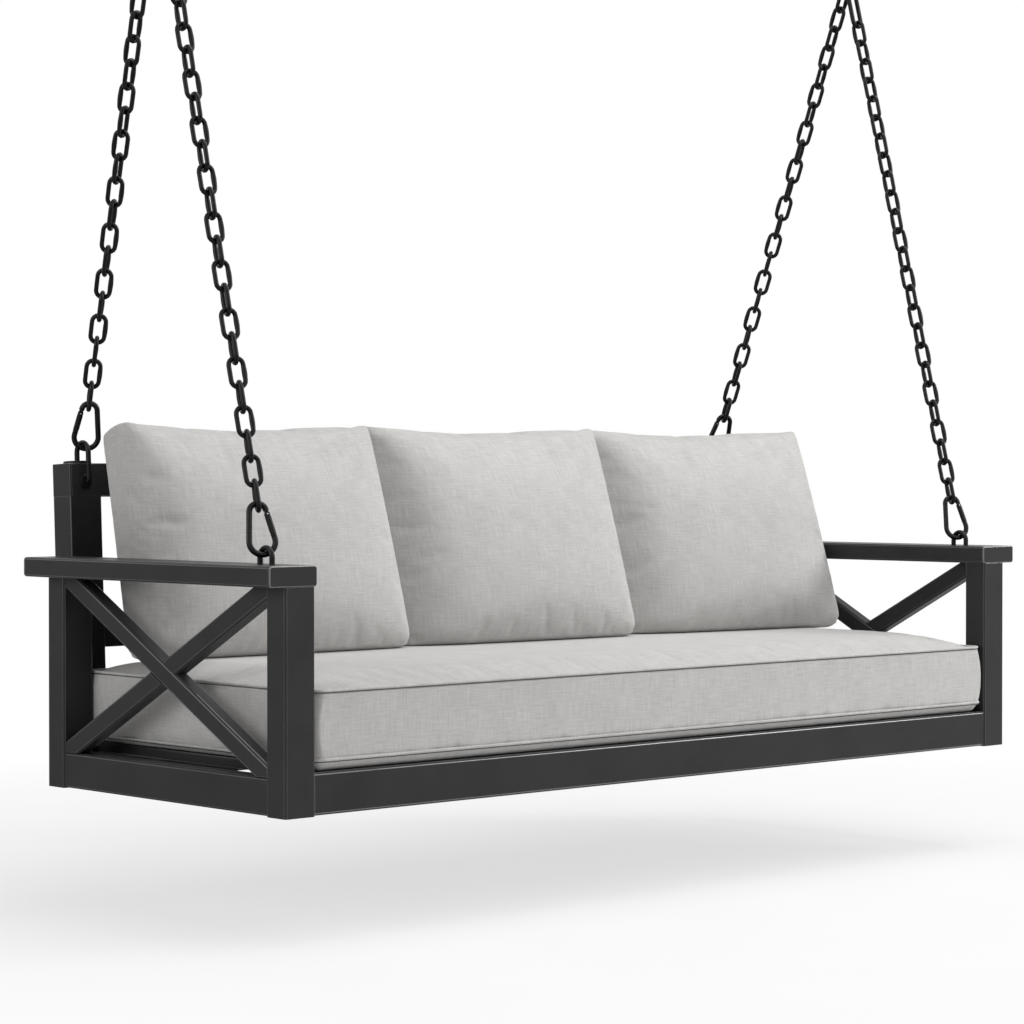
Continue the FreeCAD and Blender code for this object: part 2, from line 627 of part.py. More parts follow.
def ring_of_points(centre, across, normal, radius, sides, first=0.5):
    turn = 2 * math.pi / sides
    other = normal.cross(across)
    points = []
    for k in range(sides):
        angle = (k + first) * turn
        points.append(centre + across * (radius * math.cos(angle)) + other * (radius * math.sin(angle)))
    return points


# Half the thickness of an eight sided bar, measured across its flats
def flat_half(diameter):
    return diameter / 2 * math.cos(math.pi / bar_sides)


def bent_bar(points, diameter, across, first=0.5):
    heading = (points[1] - points[0]).normalize()
    section = ring_of_points(points[0], across, heading, diameter / 2, bar_sides, first)
    path = Part.makePolygon(points)
    return path.makePipeShell([Part.makePolygon(section + section[:1])], True, False, 1)


def line(start, stop):
    return Part.LineSegment(start, stop).toShape()


def arc(start, middle, stop):
    return Part.Arc(start, middle, stop).toShape()


# Points along an arc, both ends included
def bend(start, middle, stop, steps=bend_steps):
    return arc(start, middle, stop).discretize(steps + 1)


# Front eyes: U-bolts through the arm tops, with backing plates and nuts inside the arms
def front_eye(side):
    rod = size["eye_rod"]
    radius = size["eye_spread"] / 2
    x = side * eye_side
    mid_y = base_y + size["eye_setback"]
    top = base_z + size["post_height"] + size["arm_height"]
    level = top + size["eye_rise"] - radius
    low = top - size["eye_reach"]
    arch = bend(vec(x, mid_y - radius, level), vec(x, mid_y, level + radius), vec(x, mid_y + radius, level))
    return bent_bar([vec(x, mid_y - radius, low)] + arch + [vec(x, mid_y + radius, low)], rod, axis_x, 0)


solid_node("front_eye_left", front_eye(-1))
solid_node("front_eye_right", front_eye(1))

plate = box("eye_plate_blank", "eye_plate_width", "eye_plate_length", "eye_plate_thick")
place(plate, eye_x + " - eye_plate_width / 2", front_y + " + eye_setback - eye_plate_length / 2",
      arm_top + " - heavy_wall - eye_plate_thick")
both_sides("eye_plates", [boolean("Cut", "eye_plate", plate, fused("eye_plate_holes", eye_holes))])

eye_nuts = []
for name, sign in (("eye_nut_front", "-"), ("eye_nut_rear", "+")):
    nut = hex_nut(name, rod_hole(name + "_bore", "nut_thick"))
    place(nut, eye_x, "%s + eye_setback %s eye_spread / 2" % (front_y, sign),
          arm_top + " - heavy_wall - eye_plate_thick - nut_thick")
    eye_nuts.append(nut)
both_sides("eye_nuts", eye_nuts)


# Point on the reclined back frame, as a vector
def back_point(x, depth, rise):
    lean = math.radians(size["recline"])
    y = base_y + size["frame_depth"] + size["back_gap"] + depth * math.cos(lean) + rise * math.sin(lean)
    return vec(x, y, base_z - depth * math.sin(lean) + rise * math.cos(lean))


upright_mid = size["frame_width"] / 2 - size["post_width"] - size["upright_inset"] - size["upright_width"] / 2
loop_depth = (size["loop_back"] - size["loop_stand"]) / 2
loop_radius = (size["loop_back"] + size["loop_stand"]) / 2


# Rear loops: a bent rod from the top of the rail, over and into its front face
def rear_loop(side):
    x = side * upright_mid
    deep = size["loop_back"]
    stand = -size["loop_stand"]
    turn = size["loop_bend"]
    spring = size["back_rise"] + size["loop_rise"] - loop_radius
    entry = size["back_rise"] - size["loop_entry"]
    half = turn * (1 - math.cos(math.pi / 4))
    arch = bend(back_point(x, deep, spring), back_point(x, loop_depth, spring + loop_radius),
                back_point(x, stand, spring))
    knee = bend(back_point(x, stand, entry + turn), back_point(x, stand + half, entry + half),
                back_point(x, stand + turn, entry), bend_steps // 2)
    ends = [back_point(x, deep, size["back_rise"] - size["loop_reach"]),
            back_point(x, size["nut_thick"] + size["light_wall"], entry)]
    return bent_bar(ends[:1] + arch + knee + ends[1:], size["eye_rod"], axis_x, 0)


solid_node("rear_loop_left", rear_loop(-1))
solid_node("rear_loop_right", rear_loop(1))

flange_disc = cylinder("flange_disc", "flange_radius", "flange_thick")
place_on_back(flange_disc, upright_x, "loop_back", "back_rise")
flange_bore = rod_hole("flange_bore", "flange_thick + 2 * cut_overrun")
place_on_back(flange_bore, upright_x, "loop_back", "back_rise - cut_overrun")
both_sides("loop_flanges", [boolean("Cut", "loop_flange", flange_disc, flange_bore)])


# Domed washers on the front face of the top rail, turned about the front leg
def domed_washer(side):
    bore = size["eye_rod"] / 2 + size["pin_gap"]
    rim = size["washer_rise"] / 3
    crown = (size["washer_radius"] + bore) / 2
    profile = [vec(0, bore, 0), vec(0, size["washer_radius"], 0), vec(-rim, size["washer_radius"], 0),
               vec(-size["washer_rise"], crown, 0), vec(-size["washer_rise"], bore, 0)]
    shape = Part.Face(Part.makePolygon(profile + profile[:1])).revolve(vec(0, 0, 0), axis_x, full_turn)
    seat = back_point(side * upright_mid, 0, size["back_rise"] - size["loop_entry"])
    inward = back_point(0, 1, 0) - back_point(0, 0, 0)
    shape.Placement = FreeCAD.Placement(seat, FreeCAD.Rotation(axis_x, inward))
    return shape


solid_node("loop_washers", Part.makeCompound([domed_washer(-1), domed_washer(1)]))

top_nut = hex_nut("loop_top_nut", rod_hole("loop_top_nut_bore", "nut_thick"))
place_on_back(top_nut, upright_x, "loop_back", "back_rise - light_wall - nut_thick")
face_nut = hex_nut("loop_face_nut", rod_hole("loop_face_nut_bore", "nut_thick"))
turned(face_nut, axis_x, 1)
bind(face_nut, "Placement.Rotation.Angle", "0 - 90 - recline")
place(face_nut, upright_x, "%s + light_wall * cos(recline) + (back_rise - loop_entry) * sin(recline)" % back_y,
      "%s - light_wall * sin(recline) + (back_rise - loop_entry) * cos(recline)" % foot_z)
both_sides("loop_nuts", [top_nut, face_nut])

# Hanging lines: each chain runs from a gathering ring to the rod of an eye, in line with the eye centre
ring_drop = size["pivot_drop"] + size["hanger_drop"] - flat_half(size["hanger_bar"]) - flat_half(size["ring_bar"])
ring_level = -ring_drop - size["ring_radius"] + size["bend_gap"]
snap_length = size["snap_top"] + size["snap_run"] + size["snap_base"]


def hang_line(side, end):
    ring = vec(side * eye_side, 0, ring_level)
    if end == "front":
        radius = size["eye_spread"] / 2
        level = base_z + size["post_height"] + size["arm_height"] + size["eye_rise"] - radius
        centre = vec(side * eye_side, base_y + size["eye_setback"], level)
    else:
        radius = loop_radius
        centre = back_point(side * upright_mid, loop_depth, size["back_rise"] + size["loop_rise"] - radius)
    pull = ring - centre
    eye = centre + vec(0, pull.y, pull.z).normalize() * radius
    run = eye - ring
    reach = run.Length
    down = run.normalize()
    across = (axis_x - down * down.dot(axis_x)).normalize()
    return ring, down, across, down.cross(across), reach


def spun(across, other, angle):
    turn = math.radians(angle)
    return across * math.cos(turn) + other * math.sin(turn)


# One link: straight sides and three-sided ends around a stadium, on a six sided wire
def link_solid(top, down, across, inner, bar, width):
    radius = (width - bar) / 2
    cut = radius * math.tan(math.pi / 8)
    half = inner + bar
    outline = [(radius, half / 2), (radius, radius - cut), (cut, 0), (-cut, 0), (-radius, radius - cut),
               (-radius, half - radius + cut), (-cut, half), (cut, half), (radius, half - radius + cut)]
    points = [top + across * a + down * b for a, b in outline]
    edges = [line(points[k], points[(k + 1) % len(points)]) for k in range(len(points))]
    path = Part.Wire(edges)
    section = ring_of_points(points[0], across, -down, bar / 2 / math.cos(math.pi / wire_sides), wire_sides)
    return path.makePipeShell([Part.makePolygon(section + section[:1])], True, False, 1).removeSplitter()


def chain_layout(side, end):
    ring, down, across, other, reach = hang_line(side, end)
    wire = size["link_wire"]
    gap = size["fit_gap"]
    start = size["ring_radius"] - flat_half(size["ring_bar"]) - wire / 2 - gap
    if end == "front":
        start += size["long_link"] - gap
    snap_start = reach - snap_length + flat_half(size["snap_bar"]) + size["eye_rod"] / 2 + size["snap_slack"]
    finish = snap_start + flat_half(size["snap_bar"]) + wire / 2 + size["bend_gap"]
    count = round((finish - start - wire - gap) / (size["link_pitch"] - gap))
    pitch = (finish - start - wire - gap) / count + gap
    return start, snap_start, count, pitch


def chain(side, end):
    ring, down, across, other, reach = hang_line(side, end)
    start, snap_start, count, pitch = chain_layout(side, end)
    first = right_angle if end == "front" else 0
    last = first + (count - 1) * right_angle
    twist = ((size["snap_turn"] - last) % half_turn - right_angle) / count
    links = []
    for k in range(count):
        top = ring + down * (start + k * (pitch - size["fit_gap"]))
        facing = spun(across, other, first + k * right_angle + (k + 1) * twist)
        links.append(link_solid(top, down, facing, pitch, size["link_wire"], size["link_width"]))
    return Part.makeCompound(links)


def levelling_link(side):
    ring, down, across, other, reach = hang_line(side, "front")
    top = ring + down * (size["ring_radius"] - flat_half(size["ring_bar"]) - size["long_bar"] / 2 - size["fit_gap"])
    return link_solid(top, down, across, size["long_link"], size["long_bar"], size["long_width"])


# Snap hooks: a pear shaped bar, open on the gate side, with a tongue at each end of the gap
class Snap:
    def __init__(self, side, end):
        ring, down, across, other, reach = hang_line(side, end)
        start, snap_start, count, pitch = chain_layout(side, end)
        self.origin = ring + down * snap_start
        self.up = -down
        self.across = spun(across, other, size["snap_turn"])
        if end == "rear":
            self.across = -self.across
        self.normal = self.across.cross(self.up)
        slope = math.asin((size["snap_base"] - size["snap_top"]) / size["snap_run"])
        self.cosine = math.cos(slope)
        self.sine = math.sin(slope)

    def at(self, a, b):
        return self.origin + self.across * a + self.up * b

    def tangent_points(self, hand):
        top = size["snap_top"]
        base = size["snap_base"]
        low = -top - size["snap_run"]
        upper = self.at(hand * top * self.cosine, -top + top * self.sine)
        lower = self.at(hand * base * self.cosine, low + base * self.sine)
        return upper, lower

    def gate_frame(self):
        upper, lower = self.tangent_points(1)
        heading = (lower - upper).normalize()
        pin = upper + heading * size["gate_start"]
        return pin, heading, heading.cross(self.normal)

    def slab(self, start, heading, length, wide, thick):
        side = heading.cross(self.normal)
        corner = start - side * (wide / 2) - self.normal * (thick / 2)
        face = Part.makePolygon([corner, corner + side * wide, corner + side * wide + self.normal * thick,
                                 corner + self.normal * thick, corner])
        return Part.Face(face).extrude(heading * length)

    def drum(self, centre, radius, thick):
        return Part.makeCylinder(radius, thick, centre - self.normal * (thick / 2), self.normal)

    def body(self):
        right_top, right_low = self.tangent_points(1)
        left_top, left_low = self.tangent_points(-1)
        pin, heading, side = self.gate_frame()
        stub = pin - heading * (size["gate_bar"] / 2 + size["gate_gap"])
        nose = pin + heading * (size["gate_length"] + size["gate_gap"])
        lowest = self.at(0, -snap_length)
        base_bend = bend(right_low, lowest, left_low, bend_steps + 2)
        top_bend = bend(left_top, self.at(0, 0), right_top)
        bar = bent_bar([nose] + base_bend + top_bend + [stub], size["snap_bar"], self.normal)
        thick = size["tongue_thick"]
        wide = 2 * size["tongue_radius"]
        hinge = self.slab(stub - heading * size["gate_gap"], heading, (pin - stub).Length + size["gate_gap"], wide, thick)
        knuckle = self.drum(pin, size["tongue_radius"], thick)
        reach = size["tongue_reach"] + size["gate_gap"]
        lip = self.slab(nose - heading * reach, heading, reach + size["gate_gap"], wide, thick)
        whole = bar.fuse([hinge, knuckle, lip])
        return whole.cut(self.drum(pin, size["gate_pin"] / 2 + size["pin_gap"], 2 * size["snap_bar"])).removeSplitter()

    def gate(self):
        pin, heading, side = self.gate_frame()
        heel = pin - heading * size["gate_heel"]
        section = ring_of_points(heel, self.normal, heading, size["gate_bar"] / 2, bar_sides)
        face = Part.Face(Part.makePolygon(section + section[:1]))
        shell = face.extrude(heading * (size["gate_length"] + size["gate_heel"]))
        slot = size["tongue_thick"] + 2 * size["slot_gap"]
        wide = 2 * size["gate_bar"]
        hinge_slot = self.slab(pin - heading * wide, heading, wide + size["tongue_radius"] + size["gate_gap"], wide, slot)
        depth = size["tongue_reach"] + size["gate_gap"]
        tip = pin + heading * size["gate_length"]
        tip_slot = self.slab(tip - heading * depth, heading, 2 * depth, wide, slot)
        bore = self.drum(pin, size["gate_pin"] / 2 + size["pin_gap"], wide)
        return shell.cut([hinge_slot, tip_slot, bore]).removeSplitter()

    def pin(self):
        centre, heading, side = self.gate_frame()
        return self.drum(centre, size["gate_pin"] / 2, size["gate_bar"] - size["gate_gap"])


pins = []
for end in ("front", "rear"):
    for name, side in (("left", -1), ("right", 1)):
        snap = Snap(side, end)
        solid_node("snap_%s_%s" % (end, name), snap.body())
        solid_node("gate_%s_%s" % (end, name), snap.gate())
        solid_node("chain_%s_%s" % (end, name), chain(side, end))
        pins.append(snap.pin())
        centre, heading, across = snap.gate_frame()
        print("gate", end, name, "pin", [round(v, 2) for v in centre], "axis", [round(v, 5) for v in snap.normal])
        print("links", chain_layout(side, end)[2], "pitch", round(chain_layout(side, end)[3], 3))
solid_node("gate_pins", Part.makeCompound(pins))
solid_node("levelling_links", Part.makeCompound([levelling_link(-1), levelling_link(1)]))


# Gathering rings, in the plane of the swing
def gathering_ring(side):
    centre = vec(side * eye_side, 0, ring_level)
    points = ring_of_points(centre, axis_y, axis_x, size["ring_radius"] / math.cos(math.pi / ring_steps), ring_steps)
    start = (points[0] + points[-1]) / 2
    path = Part.makePolygon([start] + points + [start])
    section = ring_of_points(start, axis_x, (points[0] - start).normalize(), size["ring_bar"] / 2, bar_sides)
    return path.makePipeShell([Part.makePolygon(section + section[:1])], True, False, 1).removeSplitter()


solid_node("gathering_rings", Part.makeCompound([gathering_ring(-1), gathering_ring(1)]))

# Ceiling hangers
pivot_x = eye_x
pivot_z = "(0 - pivot_drop)"
plate_blank = box("ceiling_plate_blank", "plate_width", "plate_length", "plate_thick")
place(plate_blank, pivot_x + " - plate_width / 2", "0 - plate_length / 2", "0 - plate_thick")
ear_parts = []
for name, start in (("outer", "0 - ear_gap / 2 - ear_thick"), ("inner", "ear_gap / 2")):
    web = box("ear_web_" + name, "ear_thick", "ear_width", "pivot_drop - plate_thick")
    place(web, "%s + %s" % (pivot_x, start), "0 - ear_width / 2", pivot_z)
    round_end = turned(cylinder("ear_round_" + name, "ear_width / 2", "ear_thick"), axis_y, right_angle)
    place(round_end, "%s + %s" % (pivot_x, start), "0", pivot_z)
    ear_parts += [web, round_end]
bracket = fused("ceiling_bracket", [plate_blank] + ear_parts)
plate_holes = []
for name, sign in (("front", "0 - "), ("rear", "")):
    hole = cylinder("screw_hole_" + name, "screw_radius", "plate_thick + 2 * cut_overrun")
    place(hole, pivot_x, sign + "screw_spacing / 2", "0 - plate_thick - cut_overrun")
    plate_holes.append(hole)
pivot_hole = turned(cylinder("pivot_hole", "pivot_radius + pin_gap", "plate_width + 2 * cut_overrun"), axis_y, right_angle)
place(pivot_hole, pivot_x + " - plate_width / 2 - cut_overrun", "0", pivot_z)
plate_holes.append(pivot_hole)
both_sides("ceiling_plates", [boolean("Cut", "ceiling_plate", bracket, fused("ceiling_holes", plate_holes))])

ear_span = "(ear_gap + 2 * ear_thick)"
shank = turned(cylinder("pivot_shank", "pivot_radius", ear_span + " + nut_thick + bolt_tail"), axis_y, right_angle)
place(shank, "%s - %s / 2" % (pivot_x, ear_span), "0", pivot_z)
head = turned(prism("pivot_head", 6, "nut_flats / 2 / cos(30)", "bolt_head_thick"), axis_y, right_angle)
place(head, "%s - %s / 2 - bolt_head_thick" % (pivot_x, ear_span), "0", pivot_z)
both_sides("pivot_bolts", [fused("pivot_bolt", [shank, head])])

pivot_bore = cylinder("pivot_nut_bore", "pivot_radius + pin_gap", "nut_thick")
pivot_nut = turned(hex_nut("pivot_nut", pivot_bore), axis_y, right_angle)
place(pivot_nut, "%s + %s / 2" % (pivot_x, ear_span), "0", pivot_z)
both_sides("pivot_nuts", [pivot_nut])

boss_length = "(ear_gap - 4 * fit_gap)"
bush_body = turned(cylinder("bush_body", "bush_radius", boss_length), axis_y, right_angle)
bush_bore = turned(cylinder("bush_bore", "pivot_radius + pin_gap", boss_length), axis_y, right_angle)
boss_body = turned(cylinder("boss_body", "boss_radius", boss_length), axis_y, right_angle)
boss_bore = turned(cylinder("boss_bore", "bush_radius", boss_length), axis_y, right_angle)
for piece in (bush_body, bush_bore, boss_body, boss_bore):
    place(piece, "%s - %s / 2" % (pivot_x, boss_length), "0", pivot_z)
both_sides("pivot_bushes", [boolean("Cut", "pivot_bush", bush_body, bush_bore)])


# Hanger eye: a boss with a loop of bar welded under it
def hanger_loop():
    x = -eye_side
    turn = size["hanger_bend"]
    top = -size["pivot_drop"] - (size["boss_radius"] + size["bush_radius"]) / 2
    low = -size["pivot_drop"] - size["hanger_drop"]
    arch = bend(vec(x - turn, 0, low + turn), vec(x, 0, low), vec(x + turn, 0, low + turn))
    return bent_bar([vec(x - turn, 0, top)] + arch + [vec(x + turn, 0, top)], size["hanger_bar"], axis_y)


loop_shape = feature("hanger_loop", hanger_loop())
hanger = boolean("Cut", "hanger_eye", fused("hanger_blank", [boss_body, loop_shape]), boss_bore)
both_sides("hanger_eyes", [hanger])

doc.recompute()
for obj in doc.Objects:
    if "Invalid" in obj.State or "Error" in obj.State:
        raise RuntimeError("%s did not build: %s" % (obj.Label, obj.State))
for label, obj in nodes.items():
    if obj.Shape.isNull() or not obj.Shape.isValid():
        raise RuntimeError("%s has no valid shape" % label)
os.makedirs("parts", exist_ok=True)
for label, obj in nodes.items():
    obj.Shape.exportStep("parts/%s.step" % label)
print(len(nodes), "nodes written")
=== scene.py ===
import json
import math

import bmesh
import bpy
import numpy as np
from mathutils import Matrix, Vector
from mathutils.bvhtree import BVHTree


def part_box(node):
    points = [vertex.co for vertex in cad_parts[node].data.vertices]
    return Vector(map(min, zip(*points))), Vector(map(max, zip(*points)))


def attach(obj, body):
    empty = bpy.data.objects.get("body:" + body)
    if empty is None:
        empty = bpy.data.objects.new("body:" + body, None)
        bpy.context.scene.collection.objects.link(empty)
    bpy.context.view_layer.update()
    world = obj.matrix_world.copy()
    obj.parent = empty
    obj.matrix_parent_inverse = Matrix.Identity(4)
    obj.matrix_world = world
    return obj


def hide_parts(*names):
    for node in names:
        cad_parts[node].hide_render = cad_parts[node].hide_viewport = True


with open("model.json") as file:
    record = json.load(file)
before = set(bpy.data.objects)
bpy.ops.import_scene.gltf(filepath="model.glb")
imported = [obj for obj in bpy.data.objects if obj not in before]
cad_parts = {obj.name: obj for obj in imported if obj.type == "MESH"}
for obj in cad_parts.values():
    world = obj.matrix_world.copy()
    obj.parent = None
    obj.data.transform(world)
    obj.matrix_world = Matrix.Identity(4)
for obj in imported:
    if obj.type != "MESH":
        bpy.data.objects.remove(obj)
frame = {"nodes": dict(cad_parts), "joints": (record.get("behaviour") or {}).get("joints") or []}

scene = bpy.context.scene
nodes = frame["nodes"]
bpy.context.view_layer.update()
frontFace = -0.408  # front face of the posts along Y
footLevel = -1.785  # underside of the posts
axisX = Vector((1, 0, 0))
axisY = Vector((0, 1, 0))
axisZ = Vector((0, 0, 1))


def addObject(name, data):
    made = bpy.data.objects.new(name, data)
    scene.collection.objects.link(made)
    return made


# Camera at the photograph's place and angle
view = dict(place=(-3.9157, -4.1396, -1.2047), turn=-42.8153, tilt=-0.7828, lens=99.67, sensor=36)
camera = addObject("swingCamera", bpy.data.cameras.new("swingCamera"))
turn, tilt = math.radians(view["turn"]), math.radians(view["tilt"])
heading = Vector((-math.sin(turn) * math.cos(tilt), math.cos(turn) * math.cos(tilt), math.sin(tilt)))
camera.rotation_mode = "QUATERNION"
camera.rotation_quaternion = heading.to_track_quat("-Z", "Y")
camera.location = view["place"]
camera.data.lens = view["lens"]
camera.data.sensor_width = view["sensor"]
scene.camera = camera
scene.view_settings.view_transform = "Standard"
print("stage: camera")


# Node helpers for the finishes
def finishTree(name):
    finish = bpy.data.materials.new(name)
    finish.use_nodes = True
    tree = finish.node_tree
    shader = tree.nodes["Principled BSDF"]
    return finish, tree, shader


def addNode(tree, kind, **fields):
    node = tree.nodes.new(kind)
    for key, value in fields.items():
        setattr(node, key, value)
    return node


def setInputs(node, values):
    for name, value in values.items():
        node.inputs[name].default_value = value


def mathNode(tree, operation, first, second=None):
    node = addNode(tree, "ShaderNodeMath", operation=operation)
    for socket, value in zip(node.inputs, (first, second)):
        if value is None:
            continue
        if isinstance(value, (int, float)):
            socket.default_value = value
        else:
            tree.links.new(value, socket)
    return node.outputs[0]


# Sum of values, each with its weight
def sumNode(tree, *parts):
    total = None
    for value, weight in parts:
        share = mathNode(tree, "MULTIPLY", value, weight)
        total = share if total is None else mathNode(tree, "ADD", total, share)
    return total


def noiseNode(tree, vector, scale, detail=2.0, rough=0.5, stretch=None):
    if stretch is not None:
        mapping = addNode(tree, "ShaderNodeMapping")
        mapping.inputs["Scale"].default_value = stretch
        tree.links.new(vector, mapping.inputs["Vector"])
        vector = mapping.outputs[0]
    noise = addNode(tree, "ShaderNodeTexNoise")
    setInputs(noise, {"Scale": scale, "Detail": detail, "Roughness": rough})
    tree.links.new(vector, noise.inputs["Vector"])
    return noise.outputs[0]


def rangeNode(tree, value, low, high, toLow, toHigh):
    node = addNode(tree, "ShaderNodeMapRange")
    setInputs(node, {"From Min": low, "From Max": high, "To Min": toLow, "To Max": toHigh})
    tree.links.new(value, node.inputs["Value"])
    return node.outputs[0]


def colourMix(tree, amount, dark, light):
    node = addNode(tree, "ShaderNodeMix", data_type="RGBA")
    for socket, value in ((node.inputs[6], dark), (node.inputs[7], light)):
        if isinstance(value, tuple):
            socket.default_value = (*value, 1)
        else:
            tree.links.new(value, socket)
    tree.links.new(amount, node.inputs[0])
    return node.outputs[2]


def bumpNode(tree, shader, height, strength, distance):
    bump = addNode(tree, "ShaderNodeBump")
    setInputs(bump, {"Strength": strength, "Distance": distance})
    tree.links.new(height, bump.inputs["Height"])
    tree.links.new(bump.outputs[0], shader.inputs["Normal"])


# Coated and plain metal: colour, gloss and surface from noise at three scales
def metalFinish(name, dark, light, rough, grain, peel, metallic=0.0, specular=0.5):
    finish, tree, shader = finishTree(name)
    place = addNode(tree, "ShaderNodeTexCoord").outputs["Object"]
    cloud = noiseNode(tree, place, 9, 4, 0.6)
    speck = noiseNode(tree, place, grain, 2, 0.6)
    peelHeight = noiseNode(tree, place, peel, 2, 0.45)
    shade = rangeNode(tree, sumNode(tree, (cloud, 0.6), (speck, 0.4)), 0.35, 0.65, 0, 1)
    tree.links.new(colourMix(tree, shade, dark, light), shader.inputs["Base Color"])
    tree.links.new(rangeNode(tree, cloud, 0.3, 0.7, rough - 0.05, rough + 0.07), shader.inputs["Roughness"])
    bumpNode(tree, shader, sumNode(tree, (peelHeight, 1), (speck, 0.35)), 0.35, 0.0003)
    setInputs(shader, {"Metallic": metallic, "Specular IOR Level": specular})
    return finish


frameCoat = metalFinish("frameCoat", (0.028, 0.028, 0.0284), (0.036, 0.036, 0.0364),
                        rough=0.4, grain=900, peel=320, specular=0.13)
# Edge finish for the eased frame edges: glossier, and lighter in colour than the coat as a painted highlight
frameEdge = metalFinish("frameEdge", (0.04, 0.04, 0.0405), (0.056, 0.056, 0.0565),
                        rough=0.2, grain=900, peel=320, specular=1.0)
# Much lighter edge colour: a painted highlight on the front rail and arm cap edges
paintedHighlightEdge = metalFinish("paintedHighlightEdge", (0.11, 0.11, 0.111), (0.15, 0.15, 0.151),
                       rough=0.2, grain=900, peel=320, specular=1.0)
fittingCoat = metalFinish("fittingCoat", (0.004, 0.004, 0.0042), (0.007, 0.007, 0.0072),
                          rough=0.36, grain=900, peel=420, specular=0.2)
chainCoat = metalFinish("chainCoat", (0.0025, 0.0025, 0.0026), (0.005, 0.005, 0.0051),
                        rough=0.32, grain=700, peel=380, specular=0.18)
snapCoat = metalFinish("snapCoat", (0.0025, 0.0025, 0.0026), (0.005, 0.005, 0.0051),
                       rough=0.28, grain=700, peel=300, specular=0.2)
zincSteel = metalFinish("zincSteel", (0.36, 0.36, 0.37), (0.5, 0.5, 0.51),
                        rough=0.34, grain=800, peel=500, metallic=1.0)
plugPlastic = metalFinish("plugPlastic", (0.012, 0.012, 0.012), (0.02, 0.02, 0.02),
                          rough=0.55, grain=1200, peel=600)
bushNylon = metalFinish("bushNylon", (0.6, 0.59, 0.55), (0.7, 0.69, 0.65),
                        rough=0.45, grain=1000, peel=500)


# Heathered linen: plain weave, thick threads both ways, flecks and soft clouds
linen = dict(dark=(0.425, 0.418, 0.408), light=(0.645, 0.636, 0.622), thread=0.0011, bump=0.5)


def linenFinish(name, mapName):
    finish, tree, shader = finishTree(name)
    if mapName:
        place = addNode(tree, "ShaderNodeUVMap", uv_map=mapName).outputs[0]
    else:
        place = addNode(tree, "ShaderNodeTexCoord").outputs["Object"]
    split = addNode(tree, "ShaderNodeSeparateXYZ")
    tree.links.new(place, split.inputs[0])
    rate = math.pi / linen["thread"]
    warp = mathNode(tree, "SINE", mathNode(tree, "MULTIPLY", split.outputs[0], rate))
    weft = mathNode(tree, "SINE", mathNode(tree, "MULTIPLY", split.outputs[1], rate))
    weave = mathNode(tree, "MULTIPLY", warp, weft)  # over and under, one sign for each
    weave = rangeNode(tree, weave, -1, 1, 0, 1)
    across = noiseNode(tree, place, 1, 3, 0.6, (24, 430, 24))
    along = noiseNode(tree, place, 1, 3, 0.6, (430, 24, 24))
    fleck = noiseNode(tree, place, 700, 2, 0.6)
    cloud = noiseNode(tree, place, 14, 3, 0.55)
    slub = sumNode(tree, (across, 0.5), (along, 0.5))
    mixed = sumNode(tree, (slub, 0.62), (fleck, 0.2), (cloud, 0.12), (weave, 0.06))
    shade = rangeNode(tree, mixed, 0.36, 0.62, 0, 1)
    tree.links.new(colourMix(tree, shade, linen["dark"], linen["light"]), shader.inputs["Base Color"])
    height = sumNode(tree, (weave, 0.5), (slub, 0.9))
    bumpNode(tree, shader, height, linen["bump"], 0.0006)
    setInputs(shader, {"Roughness": 0.92, "Specular IOR Level": 0.2})
    setInputs(shader, {"Sheen Weight": 0.12, "Sheen Roughness": 0.6})
    return finish


linenCloth = linenFinish("linenCloth", "weave")
linenWelt = linenFinish("linenWelt", None)
# Dark cord finish: painted shade for the crease beside each welt
creaseShade = metalFinish("creaseShade", (0.1, 0.098, 0.095), (0.16, 0.157, 0.152),
                         rough=0.85, grain=900, peel=900, specular=0.1)
print("stage: finishes")


# CAD nodes that show as they are: edges eased, coat on
easing = dict(edge=0.0016, brightEdgeWidth=0.0024, join=1e-5, flat=1.5, corner=28, segments=3)


def easedNode(name, finish, edge=easing["edge"], edgeFinish=None):
    node = nodes[name]
    if not node.material_slots:
        node.data.materials.append(None)
    for slot in node.material_slots:
        slot.material = finish
    weld = node.modifiers.new("joinFaces", "WELD")
    weld.merge_threshold = easing["join"]
    flat = node.modifiers.new("flatFaces", "DECIMATE")
    flat.decimate_type = "DISSOLVE"
    flat.angle_limit = math.radians(easing["flat"])
    ease = node.modifiers.new("easedEdges", "BEVEL")
    ease.width = edge
    ease.segments = easing["segments"]
    ease.limit_method = "ANGLE"
    ease.angle_limit = math.radians(easing["corner"])
    ease.use_clamp_overlap = True
    if edgeFinish:
        node.data.materials.append(edgeFinish)
        ease.material = len(node.data.materials) - 1


framePrefixes = (
    "front_post", "rear_post", "front_rail", "rear_rail", "side_rail", "brace_", "arm_left", "arm_right",
    "arm_caps", "upright_left", "upright_right", "back_top", "back_lower", "back_slats", "back_spacers",
    "seat_ledges", "seat_slats", "top_rail_caps")
frameNodes = [name for name in nodes if name.startswith(framePrefixes)]
for name in frameNodes:
    if name in ("front_rail", "arm_caps"):  # wider edges in a lighter colour: painted highlight along these edges
        easedNode(name, frameCoat, easing["brightEdgeWidth"], paintedHighlightEdge)
    else:
        easedNode(name, frameCoat, edgeFinish=frameEdge)
easedNode("ceiling_plates", fittingCoat, 0.0008)
for name in ("eye_nuts", "eye_plates", "loop_nuts", "pivot_bolts", "pivot_nuts"):
    easedNode(name, zincSteel, 0.0006)
for name in ("post_plugs", "upright_plugs"):
    easedNode(name, plugPlastic)
easedNode("pivot_bushes", bushNylon, 0.0004)
print("stage: frame coat on", len(frameNodes), "nodes")


# Mesh helpers: a shell is a list of points and a list of faces
def joinShells(*shells):
    points, faces = [], []
    for shellPoints, shellFaces in shells:
        start = len(points)
        points += [Vector(p) for p in shellPoints]
        faces += [[start + k for k in face] for face in shellFaces]
    return points, faces


